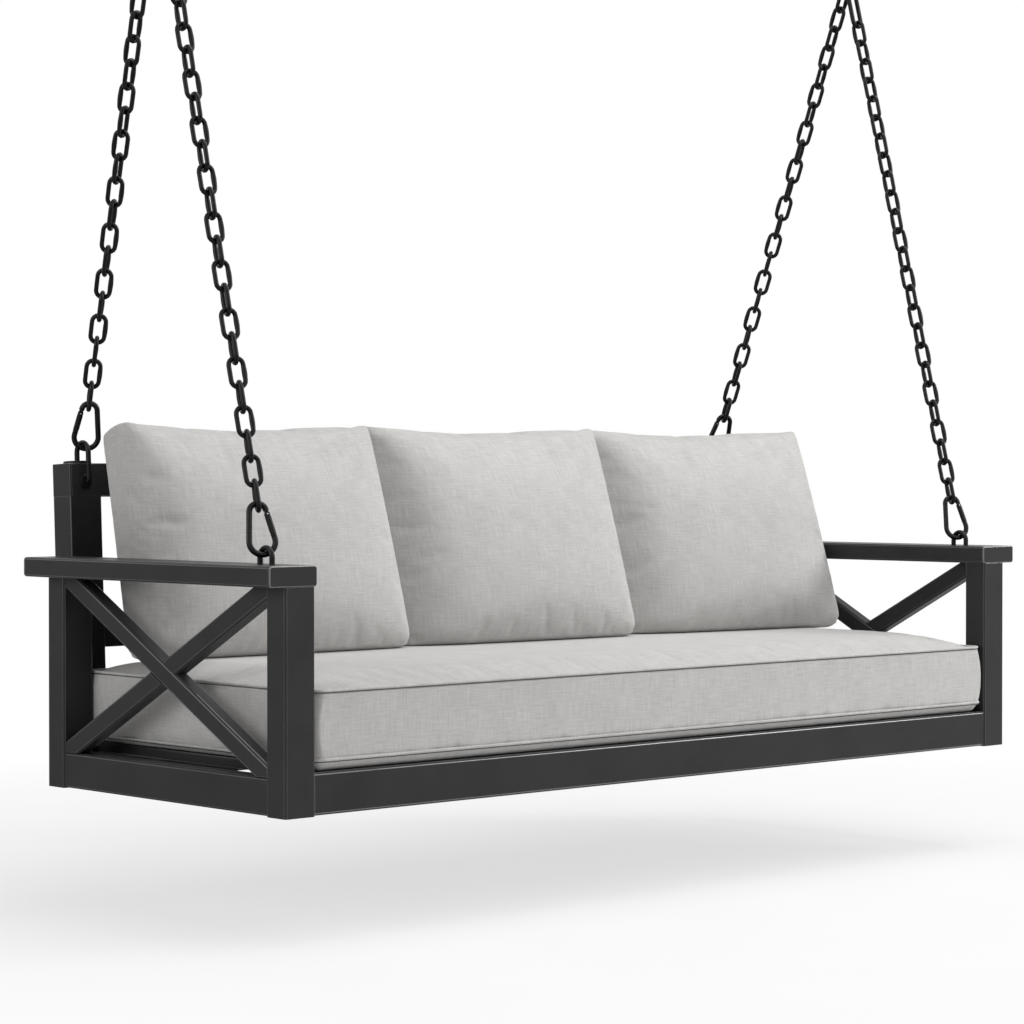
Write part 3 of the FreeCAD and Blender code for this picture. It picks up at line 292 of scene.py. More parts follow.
def addPiece(name, shell, finish, body, stoodFor, edge=None):
    points, faces = shell
    mesh = bpy.data.meshes.new(name)
    mesh.from_pydata([tuple(p) for p in points], [], faces)
    work = bmesh.new()
    work.from_mesh(mesh)
    bmesh.ops.recalc_face_normals(work, faces=work.faces)
    work.to_mesh(mesh)
    work.free()
    mesh.materials.append(finish)
    piece = addObject(name, mesh)
    mesh.polygons.foreach_set("use_smooth", [True] * len(mesh.polygons))
    mesh.set_sharp_from_angle(angle=math.radians(38))
    if edge:
        ease = piece.modifiers.new("easedEdges", "BEVEL")
        ease.width = edge
        ease.segments = 2
        ease.limit_method = "ANGLE"
        ease.angle_limit = math.radians(40)
    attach(piece, body)
    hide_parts(stoodFor)
    return piece


# Round bar along a flat path
def barShell(path, normal, radius, sides, closed=False):
    points, faces = [], []
    count = len(path)
    for k, here in enumerate(path):
        before = path[k - 1] if closed or k > 0 else here
        after = path[(k + 1) % count] if closed or k < count - 1 else here
        run = (after - before).normalized()
        side = run.cross(normal).normalized()
        for s in range(sides):
            angle = 2 * math.pi * s / sides
            points.append(here + (normal * math.cos(angle) + side * math.sin(angle)) * radius)
    for k in range(count if closed else count - 1):
        first, second = k * sides, (k + 1) % count * sides
        for s in range(sides):
            nextSide = (s + 1) % sides
            faces.append([first + s, first + nextSide, second + nextSide, second + s])
    if not closed:
        faces.append(list(range(sides)))
        faces.append([(count - 1) * sides + s for s in range(sides)])
    return points, faces


def arcRun(centre, first, second, radius, start, stop, steps):
    run = []
    for k in range(steps + 1):
        angle = start + (stop - start) * k / steps
        run.append(centre + first * (radius * math.cos(angle)) + second * (radius * math.sin(angle)))
    return run


# Turned piece: pairs of radius and height along an axis
def turnedShell(profile, origin, axis, sides):
    side = axis.orthogonal().normalized()
    other = axis.cross(side)
    points, faces = [], []
    rows = []
    for radius, height in profile:
        if radius < 1e-7:
            rows.append([len(points)])
            points.append(origin + axis * height)
            continue
        rows.append(list(range(len(points), len(points) + sides)))
        for s in range(sides):
            angle = 2 * math.pi * s / sides
            out = side * math.cos(angle) + other * math.sin(angle)
            points.append(origin + axis * height + out * radius)
    for low, high in zip(rows, rows[1:]):
        for s in range(sides):
            after = s + 1
            corners = [low[s % len(low)], low[after % len(low)], high[after % len(high)], high[s % len(high)]]
            faces.append(list(dict.fromkeys(corners)))
    return points, faces


# Straight piece of any outline
def pushedShell(outline, push):
    count = len(outline)
    points = [Vector(p) for p in outline] + [Vector(p) + push for p in outline]
    faces = [list(range(count)), list(range(count, 2 * count))]
    for k in range(count):
        after = (k + 1) % count
        faces.append([k, after, count + after, count + k])
    return points, faces


# Solids of a CAD node, each as its corner points, from the top down
def solidsOf(name):
    work = bmesh.new()
    work.from_mesh(nodes[name].data)
    bmesh.ops.remove_doubles(work, verts=work.verts, dist=1e-6)
    work.verts.ensure_lookup_table()
    seen = [False] * len(work.verts)
    found = []
    for first in work.verts:
        if seen[first.index]:
            continue
        seen[first.index] = True
        stack, corners = [first], []
        while stack:
            here = stack.pop()
            corners.append(here.co[:])
            for edge in here.link_edges:
                there = edge.other_vert(here)
                if not seen[there.index]:
                    seen[there.index] = True
                    stack.append(there)
        found.append(np.array(corners))
    work.free()
    return sorted(found, key=lambda corners: -corners[:, 2].mean())


# Middle and axes of a link: across, through and along
def linkFrame(corners):
    middle = corners.mean(0)
    _, vectors = np.linalg.eigh(np.cov((corners - middle).T))
    along = Vector(vectors[:, 2])
    if along.z > 0:
        along = -along
    across = Vector(vectors[:, 1])
    return Vector(middle), across, along.cross(across), along


# Node tree that takes numbers and a finish
def openTree(name, *numbers):
    tree = bpy.data.node_groups.new(name, "GeometryNodeTree")
    face = tree.interface
    face.new_socket("Geometry", in_out="INPUT", socket_type="NodeSocketGeometry")
    for number in numbers:
        face.new_socket(number, in_out="INPUT", socket_type="NodeSocketFloat")
    face.new_socket("Finish", in_out="INPUT", socket_type="NodeSocketMaterial")
    face.new_socket("Geometry", in_out="OUTPUT", socket_type="NodeSocketGeometry")
    return tree, addNode(tree, "NodeGroupInput").outputs


# Makes the shape real, puts the finish on and ends the tree
def closeTree(tree, shape, finish):
    real = addNode(tree, "GeometryNodeRealizeInstances")
    tree.links.new(shape, real.inputs[0])
    coat = addNode(tree, "GeometryNodeSetMaterial")
    tree.links.new(real.outputs[0], coat.inputs["Geometry"])
    tree.links.new(finish, coat.inputs["Material"])
    tree.links.new(coat.outputs[0], addNode(tree, "NodeGroupOutput").inputs[0])
    return tree


# Chain links as instances on the middles of the CAD links
chainLink = dict(wire=0.0087, width=0.0345, play=0.0003, swell=0.0006, weldReach=0.006)


def linkTree():
    tree, given = openTree("chainLinks", "Wire", "Width", "Inner Length", "Weld Swell", "Weld Reach")
    bend = mathNode(tree, "MULTIPLY", mathNode(tree, "SUBTRACT", given["Width"], given["Wire"]), 0.5)
    straight = mathNode(tree, "ADD", given["Inner Length"], mathNode(tree, "MULTIPLY", given["Wire"], 2.0))
    straight = mathNode(tree, "MULTIPLY", mathNode(tree, "SUBTRACT", straight, given["Width"]), 0.5)
    loop = addNode(tree, "GeometryNodeCurvePrimitiveCircle")
    loop.inputs["Resolution"].default_value = 32
    tree.links.new(bend, loop.inputs["Radius"])
    stand = addNode(tree, "GeometryNodeTransform")
    stand.inputs["Rotation"].default_value = (math.pi / 2, 0, 0)
    tree.links.new(loop.outputs[0], stand.inputs["Geometry"])
    place = addNode(tree, "GeometryNodeInputPosition").outputs[0]
    split = addNode(tree, "ShaderNodeSeparateXYZ")
    tree.links.new(place, split.inputs[0])
    rise = mathNode(tree, "MULTIPLY", mathNode(tree, "SIGN", split.outputs[2]), straight)
    offset = addNode(tree, "ShaderNodeCombineXYZ")
    tree.links.new(rise, offset.inputs[2])
    stretch = addNode(tree, "GeometryNodeSetPosition")
    tree.links.new(stand.outputs[0], stretch.inputs["Geometry"])
    tree.links.new(offset.outputs[0], stretch.inputs["Offset"])
    even = addNode(tree, "GeometryNodeResampleCurve")
    even.inputs["Count"].default_value = 30
    tree.links.new(stretch.outputs[0], even.inputs["Curve"])
    section = addNode(tree, "GeometryNodeCurvePrimitiveCircle")
    section.inputs["Resolution"].default_value = 9
    tree.links.new(mathNode(tree, "MULTIPLY", given["Wire"], 0.5), section.inputs["Radius"])
    wire = addNode(tree, "GeometryNodeCurveToMesh")
    tree.links.new(even.outputs[0], wire.inputs["Curve"])
    tree.links.new(section.outputs[0], wire.inputs["Profile Curve"])
    weldSpot = addNode(tree, "ShaderNodeCombineXYZ")
    tree.links.new(bend, weldSpot.inputs[0])
    away = addNode(tree, "ShaderNodeVectorMath", operation="DISTANCE")
    tree.links.new(place, away.inputs[0])
    tree.links.new(weldSpot.outputs[0], away.inputs[1])
    near = addNode(tree, "ShaderNodeMapRange", interpolation_type="SMOOTHSTEP")
    tree.links.new(away.outputs["Value"], near.inputs["Value"])
    tree.links.new(mathNode(tree, "MULTIPLY", given["Wire"], 0.5), near.inputs["From Min"])
    tree.links.new(mathNode(tree, "ADD", given["Wire"], given["Weld Reach"]), near.inputs["From Max"])
    tree.links.new(given["Weld Swell"], near.inputs["To Min"])
    near.inputs["To Max"].default_value = 0
    swell = addNode(tree, "ShaderNodeVectorMath", operation="SCALE")
    tree.links.new(addNode(tree, "GeometryNodeInputNormal").outputs[0], swell.inputs[0])
    tree.links.new(near.outputs[0], swell.inputs["Scale"])
    weld = addNode(tree, "GeometryNodeSetPosition")
    tree.links.new(wire.outputs[0], weld.inputs["Geometry"])
    tree.links.new(swell.outputs[0], weld.inputs["Offset"])
    smooth = addNode(tree, "GeometryNodeSetShadeSmooth")
    tree.links.new(weld.outputs[0], smooth.inputs["Geometry"])
    spread = addNode(tree, "GeometryNodeInstanceOnPoints")
    turned = addNode(tree, "GeometryNodeInputNamedAttribute", data_type="QUATERNION")
    turned.inputs["Name"].default_value = "linkTurn"
    tree.links.new(given["Geometry"], spread.inputs["Points"])
    tree.links.new(smooth.outputs[0], spread.inputs["Instance"])
    tree.links.new(turned.outputs[0], spread.inputs["Rotation"])
    return closeTree(tree, spread.outputs[0], given["Finish"])


# Runs a node tree on an object and keeps the result as its plain mesh
def bakeTree(piece, tree, values):
    step = piece.modifiers.new(tree.name, "NODES")
    step.node_group = tree
    for item in tree.interface.items_tree:
        if item.in_out == "INPUT" and item.name in values:
            step[item.identifier] = values[item.name]
    made = piece.evaluated_get(bpy.context.evaluated_depsgraph_get())
    mesh = bpy.data.meshes.new_from_object(made)
    piece.modifiers.remove(step)
    return mesh


linkGroup = linkTree()
chainDown = {}
for end in ("front", "rear"):
    for side in ("left", "right"):
        name = "chain_%s_%s" % (end, side)
        links = [linkFrame(corners) for corners in solidsOf(name)]
        spots = bpy.data.meshes.new("chainSpots")
        spots.from_pydata([tuple(link[0]) for link in links], [], [])
        turns = spots.attributes.new("linkTurn", "QUATERNION", "POINT")
        quats = [Matrix(link[1:]).transposed().to_quaternion() for link in links]
        turns.data.foreach_set("value", [number for quat in quats for number in quat])
        chain = addObject("chain%s%s" % (end.title(), side.title()), spots)
        span = links[-1][0] - links[0][0]
        step = span.length / (len(links) - 1)
        chainDown[end, side] = span.normalized()
        chain.data = bakeTree(chain, linkGroup, {
            "Wire": chainLink["wire"], "Width": chainLink["width"], "Inner Length": step + chainLink["play"],
            "Weld Swell": chainLink["swell"], "Weld Reach": chainLink["weldReach"], "Finish": chainCoat})
        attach(chain, "swing")
        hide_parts(name)
        print("stage:", name, len(links), "links,", len(chain.data.polygons), "faces")


# Long links that level the front chains, and the rings that gather two chains
longLink = dict(bar=0.010, width=0.0355, inner=0.081)
gatherRing = dict(bar=0.010, radius=0.030)
shells = []
for corners in solidsOf("levelling_links"):
    middle, across, through, along = linkFrame(corners)
    bend = (longLink["width"] - longLink["bar"]) / 2
    half = (longLink["inner"] + 2 * longLink["bar"] - longLink["width"]) / 2
    path = arcRun(middle + along * half, across, along, bend, 0, math.pi, 14)
    path += arcRun(middle - along * half, across, along, bend, math.pi, 2 * math.pi, 14)
    shells.append(barShell(path, through, longLink["bar"] / 2, 14, True))
addPiece("levellingLinks", joinShells(*shells), chainCoat, "swing", "levelling_links")
shells = []
for corners in solidsOf("gathering_rings"):
    middle = Vector((corners.min(0) + corners.max(0)) / 2)
    path = arcRun(middle, axisY, axisZ, gatherRing["radius"], 0, 2 * math.pi, 56)[:-1]
    shells.append(barShell(path, axisX, gatherRing["bar"] / 2, 16, True))
addPiece("gatheringRings", joinShells(*shells), chainCoat, "swing", "gathering_rings")

# Hanger eyes: a boss about the bush with a loop of bar under it
hangerEye = dict(bar=0.010, bend=0.012, drop=0.048, boss=0.012, bore=0.008, pivot=-0.036,
                 ease=0.0012, legTop=0.0102)
shells = []
for corners in solidsOf("hanger_eyes"):
    low, high = Vector(corners.min(0)), Vector(corners.max(0))
    middle = Vector(((low.x + high.x) / 2, 0, hangerEye["pivot"]))
    half = (high.x - low.x) / 2
    boss, bore, ease = hangerEye["boss"], hangerEye["bore"], hangerEye["ease"]
    rim = [(boss - ease, half), (boss - ease * 0.3, half - ease * 0.3), (boss, half - ease)]
    profile = [(bore, -half)] + [(radius, -height) for radius, height in rim]
    profile += rim[::-1] + [(bore, half), (bore, -half)]
    shells.append(turnedShell(profile, middle, axisX, 40))
    centre = middle - axisZ * (hangerEye["drop"] - hangerEye["bend"])
    path = [middle - axisX * hangerEye["bend"] - axisZ * hangerEye["legTop"]]
    path += arcRun(centre, axisX, axisZ, hangerEye["bend"], math.pi, 2 * math.pi, 18)
    path += [middle + axisX * hangerEye["bend"] - axisZ * hangerEye["legTop"]]
    shells.append(barShell(path, axisY, hangerEye["bar"] / 2, 16))
addPiece("hangerEyes", joinShells(*shells), fittingCoat, "swing", "hanger_eyes")
print("stage: hanging hardware")


# Front eyes: a U of round rod through the top of each arm
frontEye = dict(rod=0.010)
for side in ("left", "right"):
    low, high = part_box("front_eye_" + side)
    rod = frontEye["rod"] / 2
    bend = (high.y - low.y) / 2 - rod
    centre = Vector(((low.x + high.x) / 2, (low.y + high.y) / 2, high.z - rod - bend))
    path = [Vector((centre.x, centre.y - bend, low.z))]
    path += arcRun(centre, axisY, axisZ, bend, math.pi, 0, 22)
    path += [Vector((centre.x, centre.y + bend, low.z))]
    shell = barShell(path, axisX, rod, 18)
    addPiece("frontEye" + side.title(), shell, fittingCoat, "swing", "front_eye_" + side)


# Rear loops: rod from the top of the back rail, over, and into its front face
rearLoop = dict(rod=0.010, back=0.026, stand=0.0115, rise=0.039, bend=0.0075, entry=0.035, reach=0.020,
                inside=0.009, railTop=0.600, railFace=0.715, recline=2.5, flange=0.0265, flangeThick=0.005,
                washer=0.014, washerRise=0.0034, boreGap=0.0001)
recline = math.radians(rearLoop["recline"])
backIn = Vector((0, math.cos(recline), -math.sin(recline)))
backUp = Vector((0, math.sin(recline), math.cos(recline)))


def onBack(x, depth, rise):
    return Vector((x, frontFace + rearLoop["railFace"], footLevel)) + backIn * depth + backUp * rise


flangeShells, washerShells = [], []
for side in ("left", "right"):
    low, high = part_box("rear_loop_" + side)
    x = (low.x + high.x) / 2
    radius = (rearLoop["back"] + rearLoop["stand"]) / 2
    middle = (rearLoop["back"] - rearLoop["stand"]) / 2
    spring = rearLoop["railTop"] + rearLoop["rise"] - radius
    entry = rearLoop["railTop"] - rearLoop["entry"]
    path = [onBack(x, rearLoop["back"], rearLoop["railTop"] - rearLoop["reach"])]
    path += arcRun(onBack(x, middle, spring), backIn, backUp, radius, 0, math.pi, 22)
    knee = onBack(x, rearLoop["bend"] - rearLoop["stand"], entry + rearLoop["bend"])
    path += arcRun(knee, backIn, backUp, rearLoop["bend"], math.pi, 1.5 * math.pi, 10)
    path += [onBack(x, rearLoop["inside"], entry)]
    shell = barShell(path, axisX, rearLoop["rod"] / 2, 18)
    addPiece("rearLoop" + side.title(), shell, fittingCoat, "swing", "rear_loop_" + side)
    bore = rearLoop["rod"] / 2 + rearLoop["boreGap"]
    rim, thick = rearLoop["flange"], rearLoop["flangeThick"]
    profile = [(bore, 0), (rim, 0), (rim, thick * 0.6), (rim - 0.0006, thick * 0.85), (rim - 0.002, thick)]
    profile += [(bore, thick), (bore, 0)]
    flangeShells.append(turnedShell(profile, onBack(x, rearLoop["back"], rearLoop["railTop"]), backUp, 48))
    rim, rise = rearLoop["washer"], rearLoop["washerRise"]
    profile = [(bore, 0), (rim, 0), (rim, rise * 0.2)]
    for k in range(1, 9):
        profile.append((rim + (bore - rim) * k / 8, rise * (0.2 + 0.8 * math.sin(math.pi / 2 * k / 8))))
    profile.append((bore, 0))
    washerShells.append(turnedShell(profile, onBack(x, 0, entry), -backIn, 40))
addPiece("loopFlanges", joinShells(*flangeShells), fittingCoat, "swing", "loop_flanges")
addPiece("loopWashers", joinShells(*washerShells), fittingCoat, "swing", "loop_washers")
print("stage: eyes and loops")


# Snap hooks: pear shaped bar, sprung gate with a forked end each way, and its rivet
snapHook = dict(bar=0.0104, top=0.0145, base=0.0225, run=0.0522, gateBar=0.0112, gateStart=0.0085,
                gateLength=0.038, gateEdge=0.0004, heel=0.0026, gap=0.0008, tongue=0.004, tongueRadius=0.0036,
                tongueReach=0.004, tongueTaper=0.001, slotGap=0.0003, pin=0.003,
                pinNeck=0.36, pinHead=0.0006, pinRim=0.0004)
joints = {joint["name"]: joint for joint in frame["joints"]}
rivets = []
for end in ("front", "rear"):
    for side in ("left", "right"):
        hook = snapHook
        joint = joints["gate_hinge_%s_%s" % (end, side)]
        pin = Vector(joint["pos_m"])
        normal = -Vector(joint["axis"]).normalized()
        up = -chainDown[end, side]
        up = (up - normal * up.dot(normal)).normalized()
        across = up.cross(normal)
        slope = math.asin((hook["base"] - hook["top"]) / hook["run"])
        cos, sin = math.cos(slope), math.sin(slope)
        upper = Vector((hook["top"] * cos, hook["top"] * sin - hook["top"]))
        lower = Vector((hook["base"] * cos, hook["base"] * sin - hook["top"] - hook["run"]))
        aim = (lower - upper).normalized()
        flatPin = upper + aim * hook["gateStart"]
        origin = pin - across * flatPin.x - up * flatPin.y
        run = across * aim.x + up * aim.y
        lateral = run.cross(normal)
        stub = pin - run * (hook["gateBar"] / 2 + hook["gap"])
        nose = pin + run * (hook["gateLength"] + hook["gap"])
        baseMiddle = origin - up * (hook["top"] + hook["run"])
        topMiddle = origin - up * hook["top"]
        path = [nose] + arcRun(baseMiddle, across, up, hook["base"], slope, -math.pi - slope, 30)
        path += arcRun(topMiddle, across, up, hook["top"], math.pi - slope, slope, 18) + [stub]
        shells = [barShell(path, normal, hook["bar"] / 2, 18)]
        half, wide = hook["tongue"] / 2, hook["tongueRadius"]
        outline = [stub - run * hook["gap"] - lateral * wide, stub - run * hook["gap"] + lateral * wide]
        outline += arcRun(pin, lateral, run, wide, 0, math.pi, 12)
        shells.append(pushedShell([p - normal * half for p in outline], normal * hook["tongue"]))
        tip = nose - run * (hook["tongueReach"] + hook["gap"])
        outline = [nose + run * hook["gap"] + lateral * wide, nose + run * hook["gap"] - lateral * wide,
                   tip - lateral * (wide - hook["tongueTaper"]), tip + lateral * (wide - hook["tongueTaper"])]
        shells.append(pushedShell([p - normal * half for p in outline], normal * hook["tongue"]))
        label = "%s%s" % (end.title(), side.title())
        solid = "snap_%s_%s" % (end, side)
        addPiece("snap" + label, joinShells(*shells), snapCoat, "swing", solid)
        radius, slot = hook["gateBar"] / 2, half + hook["slotGap"]
        hingeEnd = hook["tongueRadius"] + hook["gap"]
        tipStart = hook["gateLength"] - hook["tongueReach"] - hook["gap"]
        circle = arcRun(pin + run * hingeEnd, normal, lateral, radius, 0, 2 * math.pi, 24)[:-1]
        shells = [pushedShell(circle, run * (tipStart - hingeEnd))]
        opening = math.acos(slot / radius)
        for sign in (1, -1):
            for first, last in ((-hook["heel"], hingeEnd), (tipStart, hook["gateLength"])):
                lobe = arcRun(pin + run * first, normal * sign, lateral, radius, -opening, opening, 10)
                shells.append(pushedShell(lobe, run * (last - first)))
        gate = "gate_%s_%s" % (end, side)
        shell = joinShells(*shells)
        addPiece("gate" + label, shell, snapCoat, gate + "_body", gate, hook["gateEdge"])
        reach = (hook["gateBar"] - hook["gap"]) / 2
        neck, head = hook["pin"] * hook["pinNeck"], hook["pinHead"]
        profile = [(0, -reach - head), (neck, -reach - hook["pinRim"]), (hook["pin"] / 2, -reach)]
        profile += [(radius, -height) for radius, height in reversed(profile)]
        rivets.append(turnedShell(profile, pin, normal, 16))
addPiece("gateRivets", joinShells(*rivets), zincSteel, "swing", "gate_pins")
print("stage: snap hooks")


# Closed box of cells, each cell with its place on the cloth in metres
def padGrid(cells, place, cloth):
    nx, ny, nz = cells
    index, points, faces, uvs, seams = {}, [], [], [], []

    def corner(i, j, k):
        key = (i, j, k)
        if key not in index:
            index[key] = len(points)
            points.append(place(i / nx, j / ny, k / nz))
            edges = (i in (0, nx)) + (j in (0, ny)) + (k in (0, nz))
            seams.append(1.0 if edges > 1 else 0.0)
        return index[key]

    def cell(keys, first, second):
        faces.append([corner(*key) for key in keys])
        for key in keys:
            across = key[first] / cells[first] * cloth[first]
            uvs.append((across, key[second] / cells[second] * cloth[second]))

    for i in range(nx):
        for j in range(ny):
            cell([(i, j, 0), (i, j + 1, 0), (i + 1, j + 1, 0), (i + 1, j, 0)], 0, 1)
            cell([(i, j, nz), (i + 1, j, nz), (i + 1, j + 1, nz), (i, j + 1, nz)], 0, 1)
    for i in range(nx):
        for k in range(nz):
            cell([(i, 0, k), (i + 1, 0, k), (i + 1, 0, k + 1), (i, 0, k + 1)], 0, 2)
            cell([(i, ny, k), (i, ny, k + 1), (i + 1, ny, k + 1), (i + 1, ny, k)], 0, 2)
    for j in range(ny):
        for k in range(nz):
            cell([(0, j, k), (0, j, k + 1), (0, j + 1, k + 1), (0, j + 1, k)], 1, 2)
            cell([(nx, j, k), (nx, j + 1, k), (nx, j + 1, k + 1), (nx, j, k + 1)], 1, 2)
    return points, faces, uvs, seams


def softObject(name, grid):
    points, faces, uvs, seams = grid
    mesh = bpy.data.meshes.new(name)
    mesh.from_pydata([tuple(p) for p in points], [], faces)
    weave = mesh.uv_layers.new(name="weave")
    weave.data.foreach_set("uv", [number for uv in uvs for number in uv])
    seam = mesh.attributes.new("seam", "FLOAT", "POINT")
    seam.data.foreach_set("value", seams)
    mesh.materials.append(linenCloth)
    mesh.polygons.foreach_set("use_smooth", [True] * len(mesh.polygons))
    piece = addObject(name, mesh)
    return piece


def pointsOf(mesh):
    flat = np.zeros(len(mesh.vertices) * 3, np.float32)
    mesh.vertices.foreach_get("co", flat)
    return flat.reshape(-1, 3).astype(float)


def seamOf(mesh):
    marks = np.zeros(len(mesh.vertices), np.float32)
    mesh.attributes["seam"].data.foreach_get("value", marks)
    return marks > 0.5


# Fills a pad by cloth pressure, then holds each point to its cap
def fillPad(piece, fill, hold):
    start = pointsOf(piece.data)
    group = piece.vertex_groups.new(name="hold")
    weights = np.round(hold, 2)
    for weight in sorted(set(weights)):
        if weight > 0:
            held = [int(k) for k in np.nonzero(weights == weight)[0]]
            group.add(held, float(weight), "REPLACE")
    step = piece.modifiers.new("fill", "CLOTH")
    cloth = step.settings
    cloth.quality = 6
    cloth.mass = 0.3
    cloth.air_damping = 2
    cloth.tension_stiffness = fill["stiff"]
    cloth.compression_stiffness = fill["stiff"]
    cloth.shear_stiffness = fill["stiff"] / 2
    cloth.bending_stiffness = fill["bend"]
    cloth.use_pressure = True
    cloth.uniform_pressure_force = fill["pressure"]
    cloth.shrink_min = -fill["slack"]
    cloth.effector_weights.gravity = 0
    cloth.vertex_group_mass = "hold"
    step.collision_settings.use_collision = False
    step.collision_settings.use_self_collision = False
    step.point_cache.frame_start = 1
    step.point_cache.frame_end = fill["frames"]
    for number in range(1, fill["frames"] + 1):
        scene.frame_set(number)
    made = piece.evaluated_get(bpy.context.evaluated_depsgraph_get())
    ended = pointsOf(made.to_mesh())
    made.to_mesh_clear()
    piece.modifiers.remove(step)
    piece.vertex_groups.clear()
    scene.frame_set(1)
    shift = ended - start
    far = np.linalg.norm(shift, axis=1)
    shift *= np.minimum(1, fill["cap"] / np.maximum(far, 1e-9))[:, None]
    return start + shift


def storePoints(piece, points):
    piece.data.vertices.foreach_set("co", points.astype(np.float32).ravel())
    piece.data.update()


def subdivide(piece):
    step = piece.modifiers.new("smooth", "SUBSURF")
    step.levels = 1
    step.render_levels = 1
    made = piece.evaluated_get(bpy.context.evaluated_depsgraph_get())
    mesh = bpy.data.meshes.new_from_object(made)
    piece.modifiers.remove(step)
    piece.data = mesh


# Rounds the edges of a box: a point on it keeps its cell, and corners turn into arcs
def roundedBox(point, half, radius):
    inner = [max(h - radius, 0) for h in half]
    core = Vector([max(-i, min(i, p)) for p, i in zip(point, inner)])
    out = point - core
    if out.length < 1e-9:
        return point
    return core + out * (max(abs(c) for c in out) / out.length)


# Seat cushion: boxed, with a welt round the top and the bottom edge
seatLow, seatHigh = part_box("seat_cushion")
seatPad = dict(cells=(150, 56, 13), boxing=0.131, corner=0.022, crown=0.006, inset=0.001, bulge=0.006,
               tuck=0.008, droop=0.011, droopPlace=-0.381, droopReach=0.016, railTop=0.0746,
               slatFront=-0.3655, lift=0.0004, postFace=0.9085, frontGive=0.0005, bedGap=0.0003,
               topHold=0.97, sideHold=0.8,
               fill=dict(pressure=4.0, slack=0.012, stiff=16, bend=1.2, frames=20, cap=0.022))
seatMiddle = Vector(((seatLow.x + seatHigh.x) / 2, (seatLow.y + seatHigh.y) / 2, 0))
inset = seatPad["inset"]
seatHalf = Vector(((seatHigh.x - seatLow.x) / 2 - inset, (seatHigh.y - seatLow.y) / 2 - inset))


def seatPlace(a, b, c):
    flat = Vector(((2 * a - 1) * seatHalf.x, (2 * b - 1) * seatHalf.y, 0))
    flat = roundedBox(flat, (seatHalf.x, seatHalf.y, 1), seatPad["corner"])
    rise = seatLow.z + seatPad["lift"] + c * seatPad["boxing"]
    swell = seatPad["bulge"] * math.sin(math.pi * c)
    flat.x *= 1 + swell / seatHalf.x
    flat.y *= 1 + swell / seatHalf.y
    if c == 0:  # lower edge tucked in, and the cloth hangs down between the rail and the slats
        flat.x *= 1 - seatPad["tuck"] / seatHalf.x
        flat.y *= 1 - seatPad["tuck"] / seatHalf.y
        off = (seatMiddle.y + flat.y - seatPad["droopPlace"]) / seatPad["droopReach"]
        rise -= seatPad["droop"] * max(0.0, 1 - off * off)
    if c == 1:
        u, w = flat.x / seatHalf.x, flat.y / seatHalf.y
        rise += seatPad["crown"] * (1 - u ** 40) * (1 - abs(w) ** 2.4)
    return Vector((seatMiddle.x + flat.x, seatMiddle.y + flat.y, rise))


seatSizes = (2 * seatHalf.x, 2 * seatHalf.y, seatPad["boxing"])
seat = softObject("seatCushion", padGrid(seatPad["cells"], seatPlace, seatSizes))
start = pointsOf(seat.data)
level = (start[:, 2] - seatLow.z) / seatPad["boxing"]
seam = seamOf(seat.data)
hold = np.where(seam, seatPad["sideHold"], 0.0)
hold = np.where(seam & (np.abs(level - 1) < 0.02), seatPad["topHold"], hold)
hold = np.where(level < 0.01, 1.0, hold)


def settleSeat(points):
    points[:, 0] = np.clip(points[:, 0], -seatPad["postFace"], seatPad["postFace"])
    points[:, 1] = np.clip(points[:, 1], seatLow.y - seatPad["frontGive"], seatHigh.y)
    rail, bed = footLevel + seatPad["railTop"], seatLow.z + seatPad["bedGap"]
    points[:, 2] = np.maximum(points[:, 2], np.where(points[:, 1] < seatPad["slatFront"], rail, bed))
    return points


storePoints(seat, fillPad(seat, seatPad["fill"], hold))
subdivide(seat)
storePoints(seat, settleSeat(pointsOf(seat.data)))
print("stage: seat cushion", len(seat.data.polygons), "faces")


# Welts follow the seams as a cord of the same cloth, each with a thin dark cord beside it: painted shade for
# the crease under the welt
seatWelts = (
    dict(name="seatWeltTop", level=1.0, radius=0.0027, push=0.0004, finish=linenWelt),
    dict(name="seatWeltTopShadeCord", level=0.962, radius=0.0009, push=0.0008, finish=creaseShade),
    dict(name="seatWeltBottom", level=0.098, radius=0.0027, push=0.0006, finish=linenWelt),
    dict(name="seatWeltBottomShadeCord", level=0.068, radius=0.0009, push=0.0008, finish=creaseShade))


def weltTree():
    tree, given = openTree("weltCord", "Radius", "Step")
    even = addNode(tree, "GeometryNodeResampleCurve", mode="LENGTH")
    tree.links.new(given["Geometry"], even.inputs["Curve"])
    tree.links.new(given["Step"], even.inputs["Length"])
    section = addNode(tree, "GeometryNodeCurvePrimitiveCircle")
    section.inputs["Resolution"].default_value = 8
    tree.links.new(given["Radius"], section.inputs["Radius"])
    cord = addNode(tree, "GeometryNodeCurveToMesh")
    tree.links.new(even.outputs[0], cord.inputs["Curve"])
    tree.links.new(section.outputs[0], cord.inputs["Profile Curve"])
    smooth = addNode(tree, "GeometryNodeSetShadeSmooth")
    tree.links.new(cord.outputs[0], smooth.inputs["Geometry"])
    return closeTree(tree, smooth.outputs[0], given["Finish"])


def seamLoop(level):
    nx, ny = seatPad["cells"][:2]
    ring = [(i / nx, 0) for i in range(nx)] + [(1, j / ny) for j in range(ny)]
    ring += [(1 - i / nx, 1) for i in range(nx)] + [(0, 1 - j / ny) for j in range(ny)]
    return [seatPlace(a, b, min(max(level, 0.01), 0.99)) for a, b in ring]


